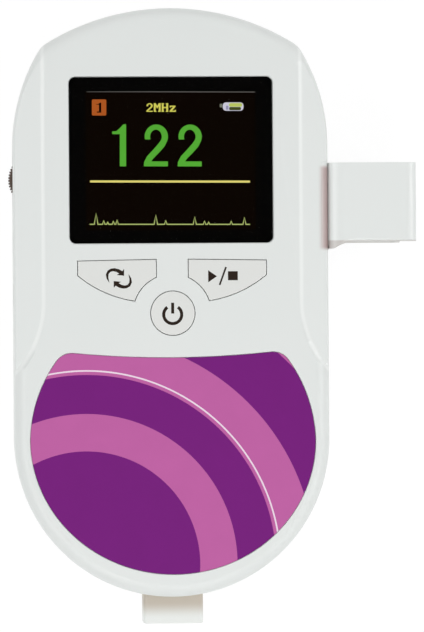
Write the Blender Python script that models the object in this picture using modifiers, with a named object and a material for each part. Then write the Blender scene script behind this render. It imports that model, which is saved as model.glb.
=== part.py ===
"""A pocket fetal doppler: the hand-held unit with its colour screen, three keys, volume wheel,
loudspeaker, rechargeable battery, probe port and the clip that parks the probe on its side.

The unit lies on its back. +Z is up, out of the screen, +Y runs to the crown above the screen,
and the origin is the centre of the flat back. Lengths are in metres.
"""

import math

import bmesh
import bpy
from mathutils import Euler, Vector

# Clearances and tessellation shared by every piece
FIT_GAP = 0.0003
RUNNING_GAP = 0.0001
FILM_GAP = 0.0001
CUT_OVERRUN = 0.001
JOIN_OVERLAP = 0.0003
WELD_DISTANCE = 0.00001
SMALLEST_ROUNDING = 0.0003
ROUND_STEPS = 24
HOLE_STEPS = 16
CORNER_STEPS = 4
SLOT_END_STEPS = 2

# Outline of the housing, seen from the front
BODY_WIDTH = 0.076
BODY_LENGTH = 0.142
BODY_DEPTH = 0.029
SHOULDER_DROP = 0.033
SHOULDER_RADIUS = 0.044
CROWN_RADIUS = 0.057
CROWN_CORNER_RADIUS = 0.0065
FOOT_Y = BODY_WIDTH / 2 - BODY_LENGTH / 2
SHOULDER_Y = BODY_LENGTH / 2 - SHOULDER_DROP
FOOT_STEPS = 14
SHOULDER_STEPS = 6
CROWN_STEPS = 6

# The two shells
WALL = 0.0022
PARTING_HEIGHT = 0.015
SEAM = 0.0003
LIP_HEIGHT = 0.0015
LIP_INSET = 0.00125
FRONT_RIM_RADIUS = 0.0032
BACK_RIM_RADIUS = 0.0065
RIM_STEPS = 4
FRONT_BASE = PARTING_HEIGHT + SEAM / 2
BACK_TOP = PARTING_HEIGHT - SEAM / 2
FRONT_CEILING = BODY_DEPTH - WALL

# Sloping grips down both sides of the front cover
GRIP_WIDTH = 0.0075
GRIP_BEND_DROP = 0.0705
GRIP_BEND_RADIUS = 0.0253
GRIP_STEP = 0.00025
GRIP_SLOPE_SHARE = 0.2
GRIP_BEND_STEPS = 8
GRIP_CREASE_X = BODY_WIDTH / 2 - GRIP_WIDTH
GRIP_BEND_Y = BODY_LENGTH / 2 - GRIP_BEND_DROP

# Screen window, its seat, and the display behind it
WINDOW_WIDTH = 0.049
WINDOW_HEIGHT = 0.040
WINDOW_CORNER = 0.0015
WINDOW_DROP = 0.0367
WINDOW_THICKNESS = 0.0010
WINDOW_SUNK = 0.00015
WINDOW_TAPE = 0.00015
VIEW_WIDTH = 0.0428
VIEW_HEIGHT = 0.0352
DISPLAY_WIDTH = 0.047
DISPLAY_HEIGHT = 0.039
DISPLAY_THICKNESS = 0.0026
DISPLAY_FRAME_WALL = 0.0014
DISPLAY_FRAME_GRIP = 0.0016
WINDOW_Y = BODY_LENGTH / 2 - WINDOW_DROP
WINDOW_TOP = BODY_DEPTH - WINDOW_SUNK
WINDOW_SEAT = WINDOW_TOP - WINDOW_THICKNESS - WINDOW_TAPE

# Printed face film on the lower half
LABEL_MARGIN = 0.00365
LABEL_DROP = 0.001
LABEL_FOOT_SHARE = 0.923
LABEL_TOP_RISE = 0.0207
LABEL_TOP_DROP = 0.0843
LABEL_TOP_RADIUS = 0.235
LABEL_CORNER = 0.0045
LABEL_THICKNESS = 0.00035
LABEL_SUNK = 0.00005
LABEL_TOP_STEPS = 4
LABEL_RADIUS = BODY_WIDTH / 2 - LABEL_MARGIN
LABEL_Y = FOOT_Y - LABEL_DROP
LABEL_TOP_Y = BODY_LENGTH / 2 - LABEL_TOP_DROP

# Keys
POWER_KEY_DROP = 0.0736
POWER_KEY_RADIUS = 0.0054
SIDE_KEY_MARGIN = 0.0152
SIDE_KEY_INNER_X = 0.0038
SIDE_KEY_RISE = 0.0128
SIDE_KEY_OUTER_RISE = 0.0091
SIDE_KEY_HOLLOW_RADIUS = 0.0093
SIDE_KEY_TIP_X = 0.0088
SIDE_KEY_BELLY_RADIUS = 0.0275
KEY_GAP = 0.00025
KEY_PROUD = 0.0002
KEY_FLANGE_WIDTH = 0.0009
KEY_FLANGE_THICKNESS = 0.0008
KEY_TRAVEL = 0.00035
KEY_STEM_RADIUS = 0.0021
KEY_ARC_STEPS = 6
POWER_KEY_Y = BODY_LENGTH / 2 - POWER_KEY_DROP
SIDE_KEY_OUTER_X = BODY_WIDTH / 2 - SIDE_KEY_MARGIN
SIDE_KEY_TOP_Y = POWER_KEY_Y + SIDE_KEY_RISE
SIDE_KEY_OUTER_Y = POWER_KEY_Y + SIDE_KEY_OUTER_RISE

# Tactile switches under the keys
SWITCH_SIDE = 0.006
SWITCH_HEIGHT = 0.0035
SWITCH_WELL_RADIUS = 0.0019
SWITCH_WELL_DEPTH = 0.0016
PLUNGER_RADIUS = 0.0017
SIDE_SWITCH_ASIDE = 0.0037
SIDE_SWITCH_RISE = 0.0088
SIDE_SWITCH_X = SIDE_KEY_TIP_X + SIDE_SWITCH_ASIDE
SIDE_SWITCH_Y = POWER_KEY_Y + SIDE_SWITCH_RISE

# Main board
BOARD_THICKNESS = 0.0016
BOARD_TOP = 0.0189
BOARD_INSET = 0.0034
BOARD_LENGTH = 0.0775
BOARD_DROP = 0.0155
BOARD_BOTTOM = BOARD_TOP - BOARD_THICKNESS
BOARD_UPPER_Y = BODY_LENGTH / 2 - BOARD_DROP
BOARD_LOWER_Y = BOARD_UPPER_Y - BOARD_LENGTH
BOARD_BOSS_RADIUS = 0.0024
BOARD_SCREW_HEAD_RADIUS = 0.0020
BOARD_SCREW_HEAD_HEIGHT = 0.0013
BOARD_SCREW_SHANK_RADIUS = 0.0009
BOARD_SCREW_LENGTH = 0.0060
BOARD_SCREW_MARGIN = 0.0090
UPPER_BOARD_SCREW_DROP = 0.06275
LOWER_BOARD_SCREW_RISE = 0.0045
UPPER_BOARD_SCREW_X = BODY_WIDTH / 2 - BOARD_SCREW_MARGIN
UPPER_BOARD_SCREW_Y = BODY_LENGTH / 2 - UPPER_BOARD_SCREW_DROP
LOWER_BOARD_SCREW_Y = BOARD_LOWER_Y + LOWER_BOARD_SCREW_RISE

# Screws that close the housing
POST_RADIUS = 0.0030
BOSS_RADIUS = 0.0036
BOSS_TOP = 0.009
HOUSING_SCREW_HEAD_RADIUS = 0.0022
HOUSING_SCREW_HEAD_HEIGHT = 0.0017
HOUSING_SCREW_SHANK_RADIUS = 0.0011
HOUSING_SCREW_LENGTH = 0.0125
COUNTERBORE_DEPTH = 0.0050
COUNTERBORE_RADIUS = 0.0027
SCREW_SLOT_WIDTH = 0.0006
SCREW_SLOT_DEPTH = 0.0006
SCREW_SIDE_SHARE = 0.7
SCREW_FACE_SHARE = 0.8
UPPER_POST_SHARE = 0.25
UPPER_POST_DROP = 0.0115
LOWER_POST_ROOM = 0.0018
LOWER_POST_RISE = 0.0240
UPPER_POST_X = BODY_WIDTH * UPPER_POST_SHARE
UPPER_POST_Y = BODY_LENGTH / 2 - UPPER_POST_DROP
LOWER_POST_Y = LOWER_POST_RISE - BODY_LENGTH / 2

# Volume wheel on the left, turning about an upright axle
WHEEL_RADIUS = 0.0064
WHEEL_THICKNESS = 0.0026
WHEEL_PROTRUSION = 0.00105
WHEEL_DROP = 0.04095
WHEEL_TEETH = 56
WHEEL_TOOTH_DEPTH = 0.00035
TOOTH_LAND_SHARE = 0.35
TOOTH_ROOT_SHARE = 0.68
WHEEL_HUB_RADIUS = 0.0030
WHEEL_DISH_DEPTH = 0.0007
WHEEL_RIM_WIDTH = 0.0010
WHEEL_SLOT_GAP = 0.0005
AXLE_RADIUS = 0.0012
POT_WIDTH = 0.0090
POT_REACH = 0.0060
WHEEL_SCREW_HEAD_RADIUS = 0.0021
WHEEL_SCREW_HEAD_HEIGHT = 0.0008
WHEEL_SCREW_PIN_RADIUS = 0.0006
WHEEL_SCREW_PIN_LENGTH = 0.0020
WHEEL_Y = BODY_LENGTH / 2 - WHEEL_DROP
WHEEL_X = WHEEL_RADIUS - WHEEL_PROTRUSION - BODY_WIDTH / 2
WHEEL_HEIGHT = PARTING_HEIGHT - FIT_GAP

# Sockets below the wheel
SOCKET_WIDTH = 0.0066
SOCKET_HEIGHT = 0.0044
SOCKET_LENGTH = 0.0110
SOCKET_NOSE_RADIUS = 0.0026
SOCKET_SUNK = 0.0003
EARPHONE_DROP = 0.0565
EARPHONE_BORE_RADIUS = 0.0018
CHARGE_DROP = 0.0690
CHARGE_BORE_RADIUS = 0.0019
CHARGE_PIN_RADIUS = 0.0006
SOCKET_BORE_DEPTH = 0.0095
EARPHONE_Y = BODY_LENGTH / 2 - EARPHONE_DROP
CHARGE_Y = BODY_LENGTH / 2 - CHARGE_DROP

# Loudspeaker behind the grille
SPEAKER_DROP = 0.0380
SPEAKER_RADIUS = 0.0160
SPEAKER_HEIGHT = 0.0034
SPEAKER_RIM_WIDTH = 0.0022
SPEAKER_SHEET = 0.0006
SPEAKER_STEP = 0.0014
SPEAKER_CONE_SHEET = 0.0005
SPEAKER_DOME_RADIUS = 0.0045
MAGNET_RADIUS = 0.0075
MAGNET_HEIGHT = 0.0032
GASKET_THICKNESS = 0.0008
SPEAKER_WALL = 0.0010
SPEAKER_WALL_HEIGHT = 0.0042
GRILLE_RADIUS = 0.0125
GRILLE_SLOT_WIDTH = 0.0012
GRILLE_PITCH = 0.0026
GRILLE_ROWS = 9
SPEAKER_Y = BODY_LENGTH / 2 - SPEAKER_DROP

# Battery, its well and its sliding door
DOOR_WIDTH = 0.035
DOOR_THICKNESS = 0.0012
DOOR_DROP = 0.077
DOOR_END_HEIGHT = 0.0060
DOOR_TRAVEL = 0.006
WELL_LEDGE = 0.0019
WELL_WIDTH = 0.0358
WELL_RISE = 0.0135
WELL_DROP = 0.0025
WELL_WALL = 0.0012
WELL_HEIGHT = 0.0125
HOOK_LENGTH = 0.006
HOOK_THICKNESS = 0.0008
HOOK_REACH = 0.0014
HOOK_PLACES_SHARES = (0.28, 0.75)
LATCH_WIDTH = 0.010
LATCH_REACH = 0.0012
LATCH_THICKNESS = 0.0005
THUMB_RIB_COUNT = 5
THUMB_RIB_PITCH = 0.0018
THUMB_RIB_WIDTH = 0.0007
THUMB_RIB_LENGTH = 0.014
THUMB_RIB_DEPTH = 0.0004
THUMB_RIB_DROP = 0.006
BATTERY_WIDTH = 0.034
BATTERY_ROOM = 0.0026
BATTERY_CORNER = 0.0022
CONTACT_BLOCK_WIDTH = 0.012
CONTACT_BLOCK_DEPTH = 0.0026
CONTACT_BLOCK_HEIGHT = 0.0050
CONTACT_WIDTH = 0.0014
CONTACT_PITCH = 0.0034
CONTACT_BULGE = 0.0011
CONTACT_SHEET = 0.0003
CONTACT_COUNT = 3
DOOR_UPPER_Y = BODY_LENGTH / 2 - DOOR_DROP
THUMB_RIB_Y = DOOR_UPPER_Y - THUMB_RIB_DROP
WELL_LOWER_Y = WELL_RISE - BODY_LENGTH / 2
WELL_UPPER_Y = DOOR_UPPER_Y - WELL_DROP
BATTERY_UPPER_Y = WELL_UPPER_Y - FIT_GAP - CONTACT_BULGE
BATTERY_LOWER_Y = WELL_LOWER_Y + BATTERY_ROOM
LOWER_POST_X = WELL_WIDTH / 2 + WELL_WALL + LOWER_POST_ROOM + BOSS_RADIUS

# Probe port at the foot of the unit
PORT_WIDTH = 0.0147
PORT_HEIGHT = 0.0092
PORT_CORNER = 0.0010
PORT_PROTRUSION = 0.0069
PORT_WALL = 0.0012
PORT_CAVITY_DEPTH = 0.0064
PORT_FLANGE_WIDTH = 0.0185
PORT_FLANGE_HEIGHT = 0.0125
PORT_FLANGE_THICKNESS = 0.0014
PORT_INSIDE_LENGTH = 0.0045
PORT_SHELF_THICKNESS = 0.0010
PORT_PIN_COUNT = 6
PORT_PIN_PITCH = 0.0017
PORT_PIN_WIDTH = 0.0007
PORT_PIN_SHEET = 0.00025
PORT_TAIL_LENGTH = 0.0025
PORT_MOUTH_Y = -BODY_LENGTH / 2 - PORT_PROTRUSION
PORT_FLOOR_Y = PORT_MOUTH_Y + PORT_CAVITY_DEPTH

# Clip on the right side that parks the probe
CLIP_STANDOFF = 0.0002
CLIP_WIDTH = 0.0211
CLIP_DROP = 0.0375
CLIP_LENGTH = 0.0207
CLIP_FOOT_WIDTH = 0.0013
CLIP_FOOT_DROP = 0.0018
CLIP_FOOT_FLARE = 0.0052
CLIP_TOP = 0.0284
CLIP_BOTTOM = 0.0062
CLIP_SHEET = 0.0022
CLIP_LEFT_RADIUS = 0.0030
CLIP_RIGHT_RADIUS = 0.0018
CLIP_LIP = 0.0010
CLIP_LIP_WIDTH = 0.0012
CLIP_BACK_SHORTER = 0.0022
CLIP_EDGE_ROUNDING = 0.0005
CLIP_PAD_TOP = 0.0140
CLIP_POCKET_DEPTH = 0.0010
CLIP_POCKET_BOTTOM = 0.0035
CLIP_BOSS_RADIUS = 0.0019
CLIP_BOSS_SPACING = 0.0110
CLIP_BOSS_HEIGHT = 0.0098
CLIP_SCREW_HEAD_RADIUS = 0.0026
CLIP_SCREW_HEAD_HEIGHT = 0.0012
CLIP_SCREW_SHANK_RADIUS = 0.0008
CLIP_SCREW_LENGTH = 0.0036
CLIP_LEFT_X = BODY_WIDTH / 2 + CLIP_STANDOFF
CLIP_RIGHT_X = CLIP_LEFT_X + CLIP_WIDTH
CLIP_UPPER_Y = BODY_LENGTH / 2 - CLIP_DROP
CLIP_LOWER_Y = CLIP_UPPER_Y - CLIP_LENGTH
CLIP_Y = (CLIP_LOWER_Y + CLIP_UPPER_Y) / 2

FACINGS = {
    "Z": Euler((0, 0, 0)),
    "Y": Euler((math.pi / 2, 0, 0)),
    "X": Euler((math.pi / 2, 0, math.pi / 2)),
}


def clear_scene():
    """Removes what the scene held."""
    for thing in list(bpy.data.objects):
        bpy.data.objects.remove(thing)


def new_collection(name):
    """A collection of that name in the scene."""
    made = bpy.data.collections.new(name)
    bpy.context.scene.collection.children.link(made)
    return made


clear_scene()
PARTS = new_collection("fetal_doppler")
CUTTERS = new_collection("cutters")


# Outlines


def arc(centre, radius, start, end, steps):
    """Points along a circle, from the start angle to the end angle, both included."""
    turn = (end - start) / steps
    return [
        (
            centre[0] + radius * math.cos(start + turn * step),
            centre[1] + radius * math.sin(start + turn * step),
        )
        for step in range(steps + 1)
    ]


def rounded_rectangle(width, height, radius, centre=(0.0, 0.0), steps=CORNER_STEPS):
    """A rectangle with round corners, anticlockwise from its upper right one."""
    points = []
    for quarter, (across, up) in enumerate(((1, 1), (-1, 1), (-1, -1), (1, -1))):
        pivot = (
            centre[0] + across * (width / 2 - radius),
            centre[1] + up * (height / 2 - radius),
        )
        start = quarter * math.pi / 2
        points += arc(pivot, radius, start, start + math.pi / 2, steps)
    return points


def rectangle(low, high):
    """The four corners between two opposite ones."""
    return [(low[0], low[1]), (high[0], low[1]), (high[0], high[1]), (low[0], high[1])]


def with_mirror(right_half):
    """A closed outline from its right half, which runs upwards from the axis to the axis."""
    return right_half + [(-x, y) for x, y in reversed(right_half[1:-1])]


def offset_outline(points, distance):
    """An anticlockwise outline grown by a distance, or shrunk where it is negative."""
    grown = []
    for index, point in enumerate(points):
        here = Vector(point)
        before = (here - Vector(points[index - 1])).normalized()
        after = (Vector(points[(index + 1) % len(points)]) - here).normalized()
        outwards = Vector((before.y + after.y, -before.x - after.x)).normalized()
        stretch = outwards.dot(Vector((before.y, -before.x)))
        grown.append(tuple(here + outwards * distance / stretch))
    return grown


def right_meeting(first, first_radius, second, second_radius):
    """Where two circles meet, on the right of the line from the first centre to the second."""
    apart = Vector(second) - Vector(first)
    squares = first_radius**2 - second_radius**2 + apart.length_squared
    along = squares / (2 * apart.length)
    aside = math.sqrt(first_radius**2 - along**2)
    direction = apart.normalized()
    across = Vector((direction.y, -direction.x))
    return Vector(first) + direction * along + across * aside


def heading(start, end):
    """The angle of the way from one point to another."""
    return math.atan2(end[1] - start[1], end[0] - start[0])


def body_outline(inset):
    """The housing's outline: a half round foot, straight sides, shoulders and a crown."""
    foot = (0.0, FOOT_Y)
    shoulder = (BODY_WIDTH / 2 - SHOULDER_RADIUS, SHOULDER_Y)
    crown = (0.0, BODY_LENGTH / 2 - CROWN_RADIUS)
    corner = right_meeting(
        crown,
        CROWN_RADIUS - CROWN_CORNER_RADIUS,
        shoulder,
        SHOULDER_RADIUS - CROWN_CORNER_RADIUS,
    )
    low_turn = heading(shoulder, corner)
    high_turn = heading(crown, corner)
    corner_radius = max(CROWN_CORNER_RADIUS - inset, SMALLEST_ROUNDING)
    right = arc(foot, BODY_WIDTH / 2 - inset, -math.pi / 2, 0, FOOT_STEPS)
    right += arc(shoulder, SHOULDER_RADIUS - inset, 0, low_turn, SHOULDER_STEPS)
    right += arc(corner, corner_radius, low_turn, high_turn, CORNER_STEPS)[1:]
    right += arc(crown, CROWN_RADIUS - inset, high_turn, math.pi / 2, CROWN_STEPS)[1:]
    return with_mirror(right)


def label_outline(growth):
    """The face film: a disc flattened at its foot, its top cut by an arc that dips.

    A longer body draws the disc out into straight sides, and a shorter one lets its two
    halves meet lower down. The growth widens it all round, for the bed that it lies in.
    """
    disc = (0.0, LABEL_TOP_Y - LABEL_TOP_RISE)
    above = (0.0, LABEL_TOP_Y + LABEL_TOP_RADIUS)
    corner = right_meeting(
        disc, LABEL_RADIUS - LABEL_CORNER, above, LABEL_TOP_RADIUS + LABEL_CORNER
    )
    side_turn = heading(disc, corner)
    side = disc[1] - LABEL_Y
    meeting = math.asin(min(side, 0) / (LABEL_RADIUS * (1 + LABEL_FOOT_SHARE)))
    foot = arc((0.0, LABEL_Y), LABEL_RADIUS, -math.pi / 2, meeting, FOOT_STEPS)
    right = [(x, LABEL_Y + (y - LABEL_Y) * LABEL_FOOT_SHARE) for x, y in foot]
    right += arc(disc, LABEL_RADIUS, -meeting, side_turn, SHOULDER_STEPS)
    right += arc(
        corner, LABEL_CORNER, side_turn, heading(corner, above), CORNER_STEPS
    )[1:]
    right += arc(
        above,
        LABEL_TOP_RADIUS,
        heading(above, corner),
        -math.pi / 2,
        LABEL_TOP_STEPS,
    )[1:]
    return offset_outline(with_mirror(without_repeats(right)), growth)


def without_repeats(points):
    """The points without those that lie on the one before."""
    kept = points[:1]
    for point in points[1:]:
        if math.dist(point, kept[-1]) > WELD_DISTANCE:
            kept.append(point)
    return kept


def side_key_outline(side):
    """A side key's opening: straight at the top, hollow round the power key, bellied below."""
    power = Vector((0.0, POWER_KEY_Y))
    hollow = SIDE_KEY_HOLLOW_RADIUS
    root_y = POWER_KEY_Y + math.sqrt(hollow**2 - SIDE_KEY_INNER_X**2)
    tip_y = POWER_KEY_Y + math.sqrt(hollow**2 - SIDE_KEY_TIP_X**2)
    root = (SIDE_KEY_INNER_X, root_y)
    tip = (SIDE_KEY_TIP_X, tip_y)
    outer = (SIDE_KEY_OUTER_X, SIDE_KEY_OUTER_Y)
    belly = right_meeting(outer, SIDE_KEY_BELLY_RADIUS, tip, SIDE_KEY_BELLY_RADIUS)
    points = [(SIDE_KEY_OUTER_X, SIDE_KEY_TOP_Y), (SIDE_KEY_INNER_X, SIDE_KEY_TOP_Y)]
    points += arc(power, hollow, heading(power, root), heading(power, tip), KEY_ARC_STEPS)
    points += arc(
        belly,
        SIDE_KEY_BELLY_RADIUS,
        heading(belly, tip),
        heading(belly, outer),
        KEY_ARC_STEPS,
    )[1:]
    if side > 0:
        return points
    return [(-x, y) for x, y in reversed(points)]


def power_key_outline():
    """The power key's opening, a full circle."""
    points = arc((0.0, POWER_KEY_Y), POWER_KEY_RADIUS, 0, 2 * math.pi, ROUND_STEPS)
    return points[:-1]


# Solids


def place(name, mesh, collection=PARTS):
    """A new object for a mesh, in the parts' collection unless another is named."""
    made = bpy.data.objects.new(name, mesh)
    collection.objects.link(made)
    return made


def as_cutter(thing):
    """Moves an object to the cutters, where it is drawn as wire and left out of the part."""
    for holder in list(thing.users_collection):
        holder.objects.unlink(thing)
    CUTTERS.objects.link(thing)
    thing.hide_render = True
    thing.display_type = "WIRE"
    return thing


def evaluated_mesh(thing):
    """The mesh that an object shows once its modifiers have run."""
    bpy.context.view_layer.update()
    graph = bpy.context.evaluated_depsgraph_get()
    return bpy.data.meshes.new_from_object(thing.evaluated_get(graph))


def apply_modifiers(thing):
    """Keeps what an object's modifiers make as its own mesh."""
    made = evaluated_mesh(thing)
    thing.modifiers.clear()
    thing.data = made
    return thing


def edit(thing):
    """A mesh's own edges and faces, to be worked on and put back by save."""
    work = bmesh.new()
    work.from_mesh(thing.data)
    return work


def save(work, thing):
    """Puts an edited mesh back into its object."""
    work.to_mesh(thing.data)
    work.free()
    return thing


def outline_solid(name, points, low, high, facing="Z"):
    """A flat outline made as thick as the way from low to high along the facing axis.

    The outline is drawn in X and Y, or in X and Z for Y, or in Y and Z for X.
    """
    curve = bpy.data.curves.new(name, "CURVE")
    curve.dimensions = "2D"
    curve.fill_mode = "BOTH"
    curve.extrude = (high - low) / 2
    spline = curve.splines.new("POLY")
    spline.points.add(len(points) - 1)
    for knot, (across, up) in zip(spline.points, points):
        knot.co = (across, up, 0, 1)
    spline.use_cyclic_u = True
    guide = place(name, curve)
    guide.rotation_euler = FACINGS[facing]
    guide.location["XYZ".index(facing)] = (low + high) / 2
    mesh = evaluated_mesh(guide)
    turned_as, placed_at = guide.rotation_euler.copy(), guide.location.copy()
    bpy.data.objects.remove(guide)
    made = place(name, mesh)
    made.rotation_euler = turned_as
    made.location = placed_at
    work = edit(made)
    bmesh.ops.remove_doubles(work, verts=work.verts, dist=WELD_DISTANCE)
    return save(work, made)


def block(name, low, high):
    """A box between two opposite corners."""
    size = [top - bottom for bottom, top in zip(low, high)]
    work = bmesh.new()
    bmesh.ops.create_cube(work, size=1)
    bmesh.ops.scale(work, vec=size, verts=work.verts)
    made = place(name, bpy.data.meshes.new(name))
    made.location = [(bottom + top) / 2 for bottom, top in zip(low, high)]
    return save(work, made)


def rod(name, radius, start, end, steps=HOLE_STEPS):
    """A round rod between two points."""
    way = Vector(end) - Vector(start)
    work = bmesh.new()
    bmesh.ops.create_cone(
        work,
        cap_ends=True,
        segments=steps,
        radius1=radius,
        radius2=radius,
        depth=way.length,
    )
    made = place(name, bpy.data.meshes.new(name))
    made.location = (Vector(start) + Vector(end)) / 2
    made.rotation_euler = way.to_track_quat("Z", "Y").to_euler()
    return save(work, made)


def turned(name, profile, at, steps=ROUND_STEPS, direction=(0, 0, 1)):
    """A turned solid from its profile of radius and height, top to bottom down the outside."""
    work = bmesh.new()
    knots = [work.verts.new((radius, 0, height)) for radius, height in profile]
    for first, second in zip(knots, knots[1:]):
        work.edges.new((first, second))
    made = place(name, bpy.data.meshes.new(name))
    save(work, made)
    made.location = at
    made.rotation_euler = Vector(direction).to_track_quat("Z", "Y").to_euler()
    screw = made.modifiers.new("turn", "SCREW")
    screw.steps = steps
    screw.render_steps = steps
    screw.use_merge_vertices = True
    screw.merge_threshold = WELD_DISTANCE
    return apply_modifiers(made)


def combine(target, tool, operation):
    """Runs one Boolean on the target and keeps its result. The tool goes to the cutters."""
    as_cutter(tool)
    step = target.modifiers.new(tool.name, "BOOLEAN")
    step.operation = operation
    step.object = tool
    return apply_modifiers(target)


def carve(target, tool):
    """Cuts the tool out of the target."""
    return combine(target, tool, "DIFFERENCE")


def join(target, tool):
    """Makes the tool one body with the target."""
    return combine(target, tool, "UNION")


def keep(target, tool):
    """Leaves only what the target shares with the tool."""
    return combine(target, tool, "INTERSECT")


def lofted(name, rings):
    """A closed solid through rings of equally many points, each a pair of outline and height."""
    work = bmesh.new()
    rows = [
        [work.verts.new((across, up, height)) for across, up in outline]
        for outline, height in rings
    ]
    for lower, upper in zip(rows, rows[1:]):
        for index, knot in enumerate(lower):
            before = index - 1
            work.faces.new((lower[before], knot, upper[index], upper[before]))
    work.faces.new(rows[0][::-1])
    work.faces.new(rows[-1])
    return save(work, place(name, bpy.data.meshes.new(name)))


def rim_rings(inset, height, radius, turn):
    """Rings round a rim from the side to the flat, towards the top (turn 1) or the back (-1)."""
    for step in range(RIM_STEPS + 1):
        angle = math.pi / 2 * step / RIM_STEPS
        inwards = radius * (1 - math.cos(angle))
        rise = radius * (1 - math.sin(angle))
        yield body_outline(inset + inwards), height - turn * rise


def finish(thing, name, colour, roughness, metallic=0.0):
    """Gives an object its own material and shades its round faces smooth."""
    material = bpy.data.materials.new(name)
    material.use_nodes = True
    shader = material.node_tree.nodes["Principled BSDF"]
    shader.inputs["Base Color"].default_value = (*colour, 1)
    shader.inputs["Roughness"].default_value = roughness
    shader.inputs["Metallic"].default_value = metallic
    thing.data.materials.clear()
    thing.data.materials.append(material)
    thing.data.shade_smooth()
    thing.data.set_sharp_from_angle(angle=math.radians(30))
    return thing


# Colours, linear
WHITE_ABS = (0.74, 0.76, 0.74)
KEY_WHITE = (0.76, 0.77, 0.75)
BLACK = (0.01, 0.01, 0.01)
PURPLE = (0.20, 0.02, 0.22)
BOARD_GREEN = (0.02, 0.16, 0.06)
STEEL = (0.55, 0.55, 0.56)
GOLD = (0.83, 0.60, 0.24)
PAPER_BLACK = (0.03, 0.03, 0.035)
BATTERY_BLUE = (0.05, 0.16, 0.42)
FOAM = (0.10, 0.10, 0.10)
MAGNET = (0.22, 0.22, 0.24)


# Housing forms that both shells, the door and the cavities share


def grip_face(across, inset):
    """Height of a grip's sloping face at a distance from the middle of the unit."""
    return (
        BODY_DEPTH - inset - GRIP_STEP - (across - GRIP_CREASE_X) * GRIP_SLOPE_SHARE
    )


def grip_cutter(side, inset):
    """All that lies above a grip's sloping face, outside the crease that bends to the edge."""
    crease = GRIP_CREASE_X - inset
    reach = BODY_WIDTH / 2 + CUT_OVERRUN
    pivot = (GRIP_CREASE_X + GRIP_BEND_RADIUS, GRIP_BEND_Y)
    radius = GRIP_BEND_RADIUS + inset
    sweep = math.acos((pivot[0] - reach) / radius)
    points = [(crease, BODY_LENGTH / 2 + CUT_OVERRUN)]
    points += arc(pivot, radius, math.pi, math.pi + sweep, GRIP_BEND_STEPS)
    points += [(reach, BODY_LENGTH / 2 + CUT_OVERRUN)]
    points = [(side * across, up) for across, up in points]
    cutter = outline_solid("grip_cutter", points, 0, BODY_DEPTH + CUT_OVERRUN)
    middle = cutter.location.z
    for knot in cutter.data.vertices:
        if knot.co.z < 0:
            knot.co.z = grip_face(abs(knot.co.x), inset) - middle
    return cutter


def front_form(name, inset):
    """The front shell's outside, or with an inset the space inside it, as one solid."""
    top = BODY_DEPTH - inset
    base = FRONT_BASE
    if inset:
        base = PARTING_HEIGHT - LIP_HEIGHT - CUT_OVERRUN
    radius = max(FRONT_RIM_RADIUS - inset, SMALLEST_ROUNDING)
    rings = [(body_outline(inset), base), *rim_rings(inset, top, radius, 1)]
    form = lofted(name, rings)
    for side in (1, -1):
        carve(form, grip_cutter(side, inset))
    return form


def back_form(name, inset):
    """The back shell's outside, or with an inset the space inside it, as one solid."""
    top = BACK_TOP
    if inset:
        top = BACK_TOP + CUT_OVERRUN
    radius = max(BACK_RIM_RADIUS - inset, SMALLEST_ROUNDING)
    rings = [(body_outline(inset), top), *rim_rings(inset, inset, radius, -1)]
    return lofted(name, rings[::-1])


def board_screw_places():
    """Where the three screws that hold the board stand."""
    for side in (1, -1):
        yield side * UPPER_BOARD_SCREW_X, UPPER_BOARD_SCREW_Y
    yield 0.0, LOWER_BOARD_SCREW_Y


def post_places():
    """Where the four screws that close the housing stand."""
    for side in (1, -1):
        yield side * UPPER_POST_X, UPPER_POST_Y
        yield side * LOWER_POST_X, LOWER_POST_Y


def side_opening_cutters():
    """Cutters for what passes through both shells' walls: wheel, sockets, port and clip."""
    outside = -BODY_WIDTH / 2 - CUT_OVERRUN
    inside = WALL * 2 - BODY_WIDTH / 2
    gap = WHEEL_THICKNESS / 2 + WHEEL_SLOT_GAP
    half_chord = WHEEL_RADIUS + WHEEL_SLOT_GAP
    cutters = [
        block(
            "wheel_slot",
            (outside, WHEEL_Y - half_chord, WHEEL_HEIGHT - gap),
            (WHEEL_X, WHEEL_Y + half_chord, WHEEL_HEIGHT + gap),
        )
    ]
    for name, along in (("earphone_hole", EARPHONE_Y), ("charge_hole", CHARGE_Y)):
        cutters.append(
            rod(
                name,
                SOCKET_NOSE_RADIUS + FIT_GAP,
                (outside, along, PARTING_HEIGHT),
                (inside, along, PARTING_HEIGHT),
            )
        )
    cutters.append(
        outline_solid(
            "port_hole",
            rounded_rectangle(
                PORT_WIDTH + 2 * FIT_GAP,
                PORT_HEIGHT + 2 * FIT_GAP,
                PORT_CORNER + FIT_GAP,
                (0.0, PARTING_HEIGHT),
            ),
            PORT_MOUTH_Y,
            -BODY_LENGTH / 2 + 3 * WALL,
            "Y",
        )
    )
    cutters.append(
        block(
            "clip_pocket",
            (
                BODY_WIDTH / 2 - CLIP_POCKET_DEPTH,
                CLIP_LOWER_Y - FIT_GAP,
                CLIP_POCKET_BOTTOM,
            ),
            (
                BODY_WIDTH / 2 + CUT_OVERRUN,
                CLIP_UPPER_Y + FIT_GAP,
                BODY_DEPTH + CUT_OVERRUN,
            ),
        )
    )
    return cutters


# The front cover and what is fixed in it


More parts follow.
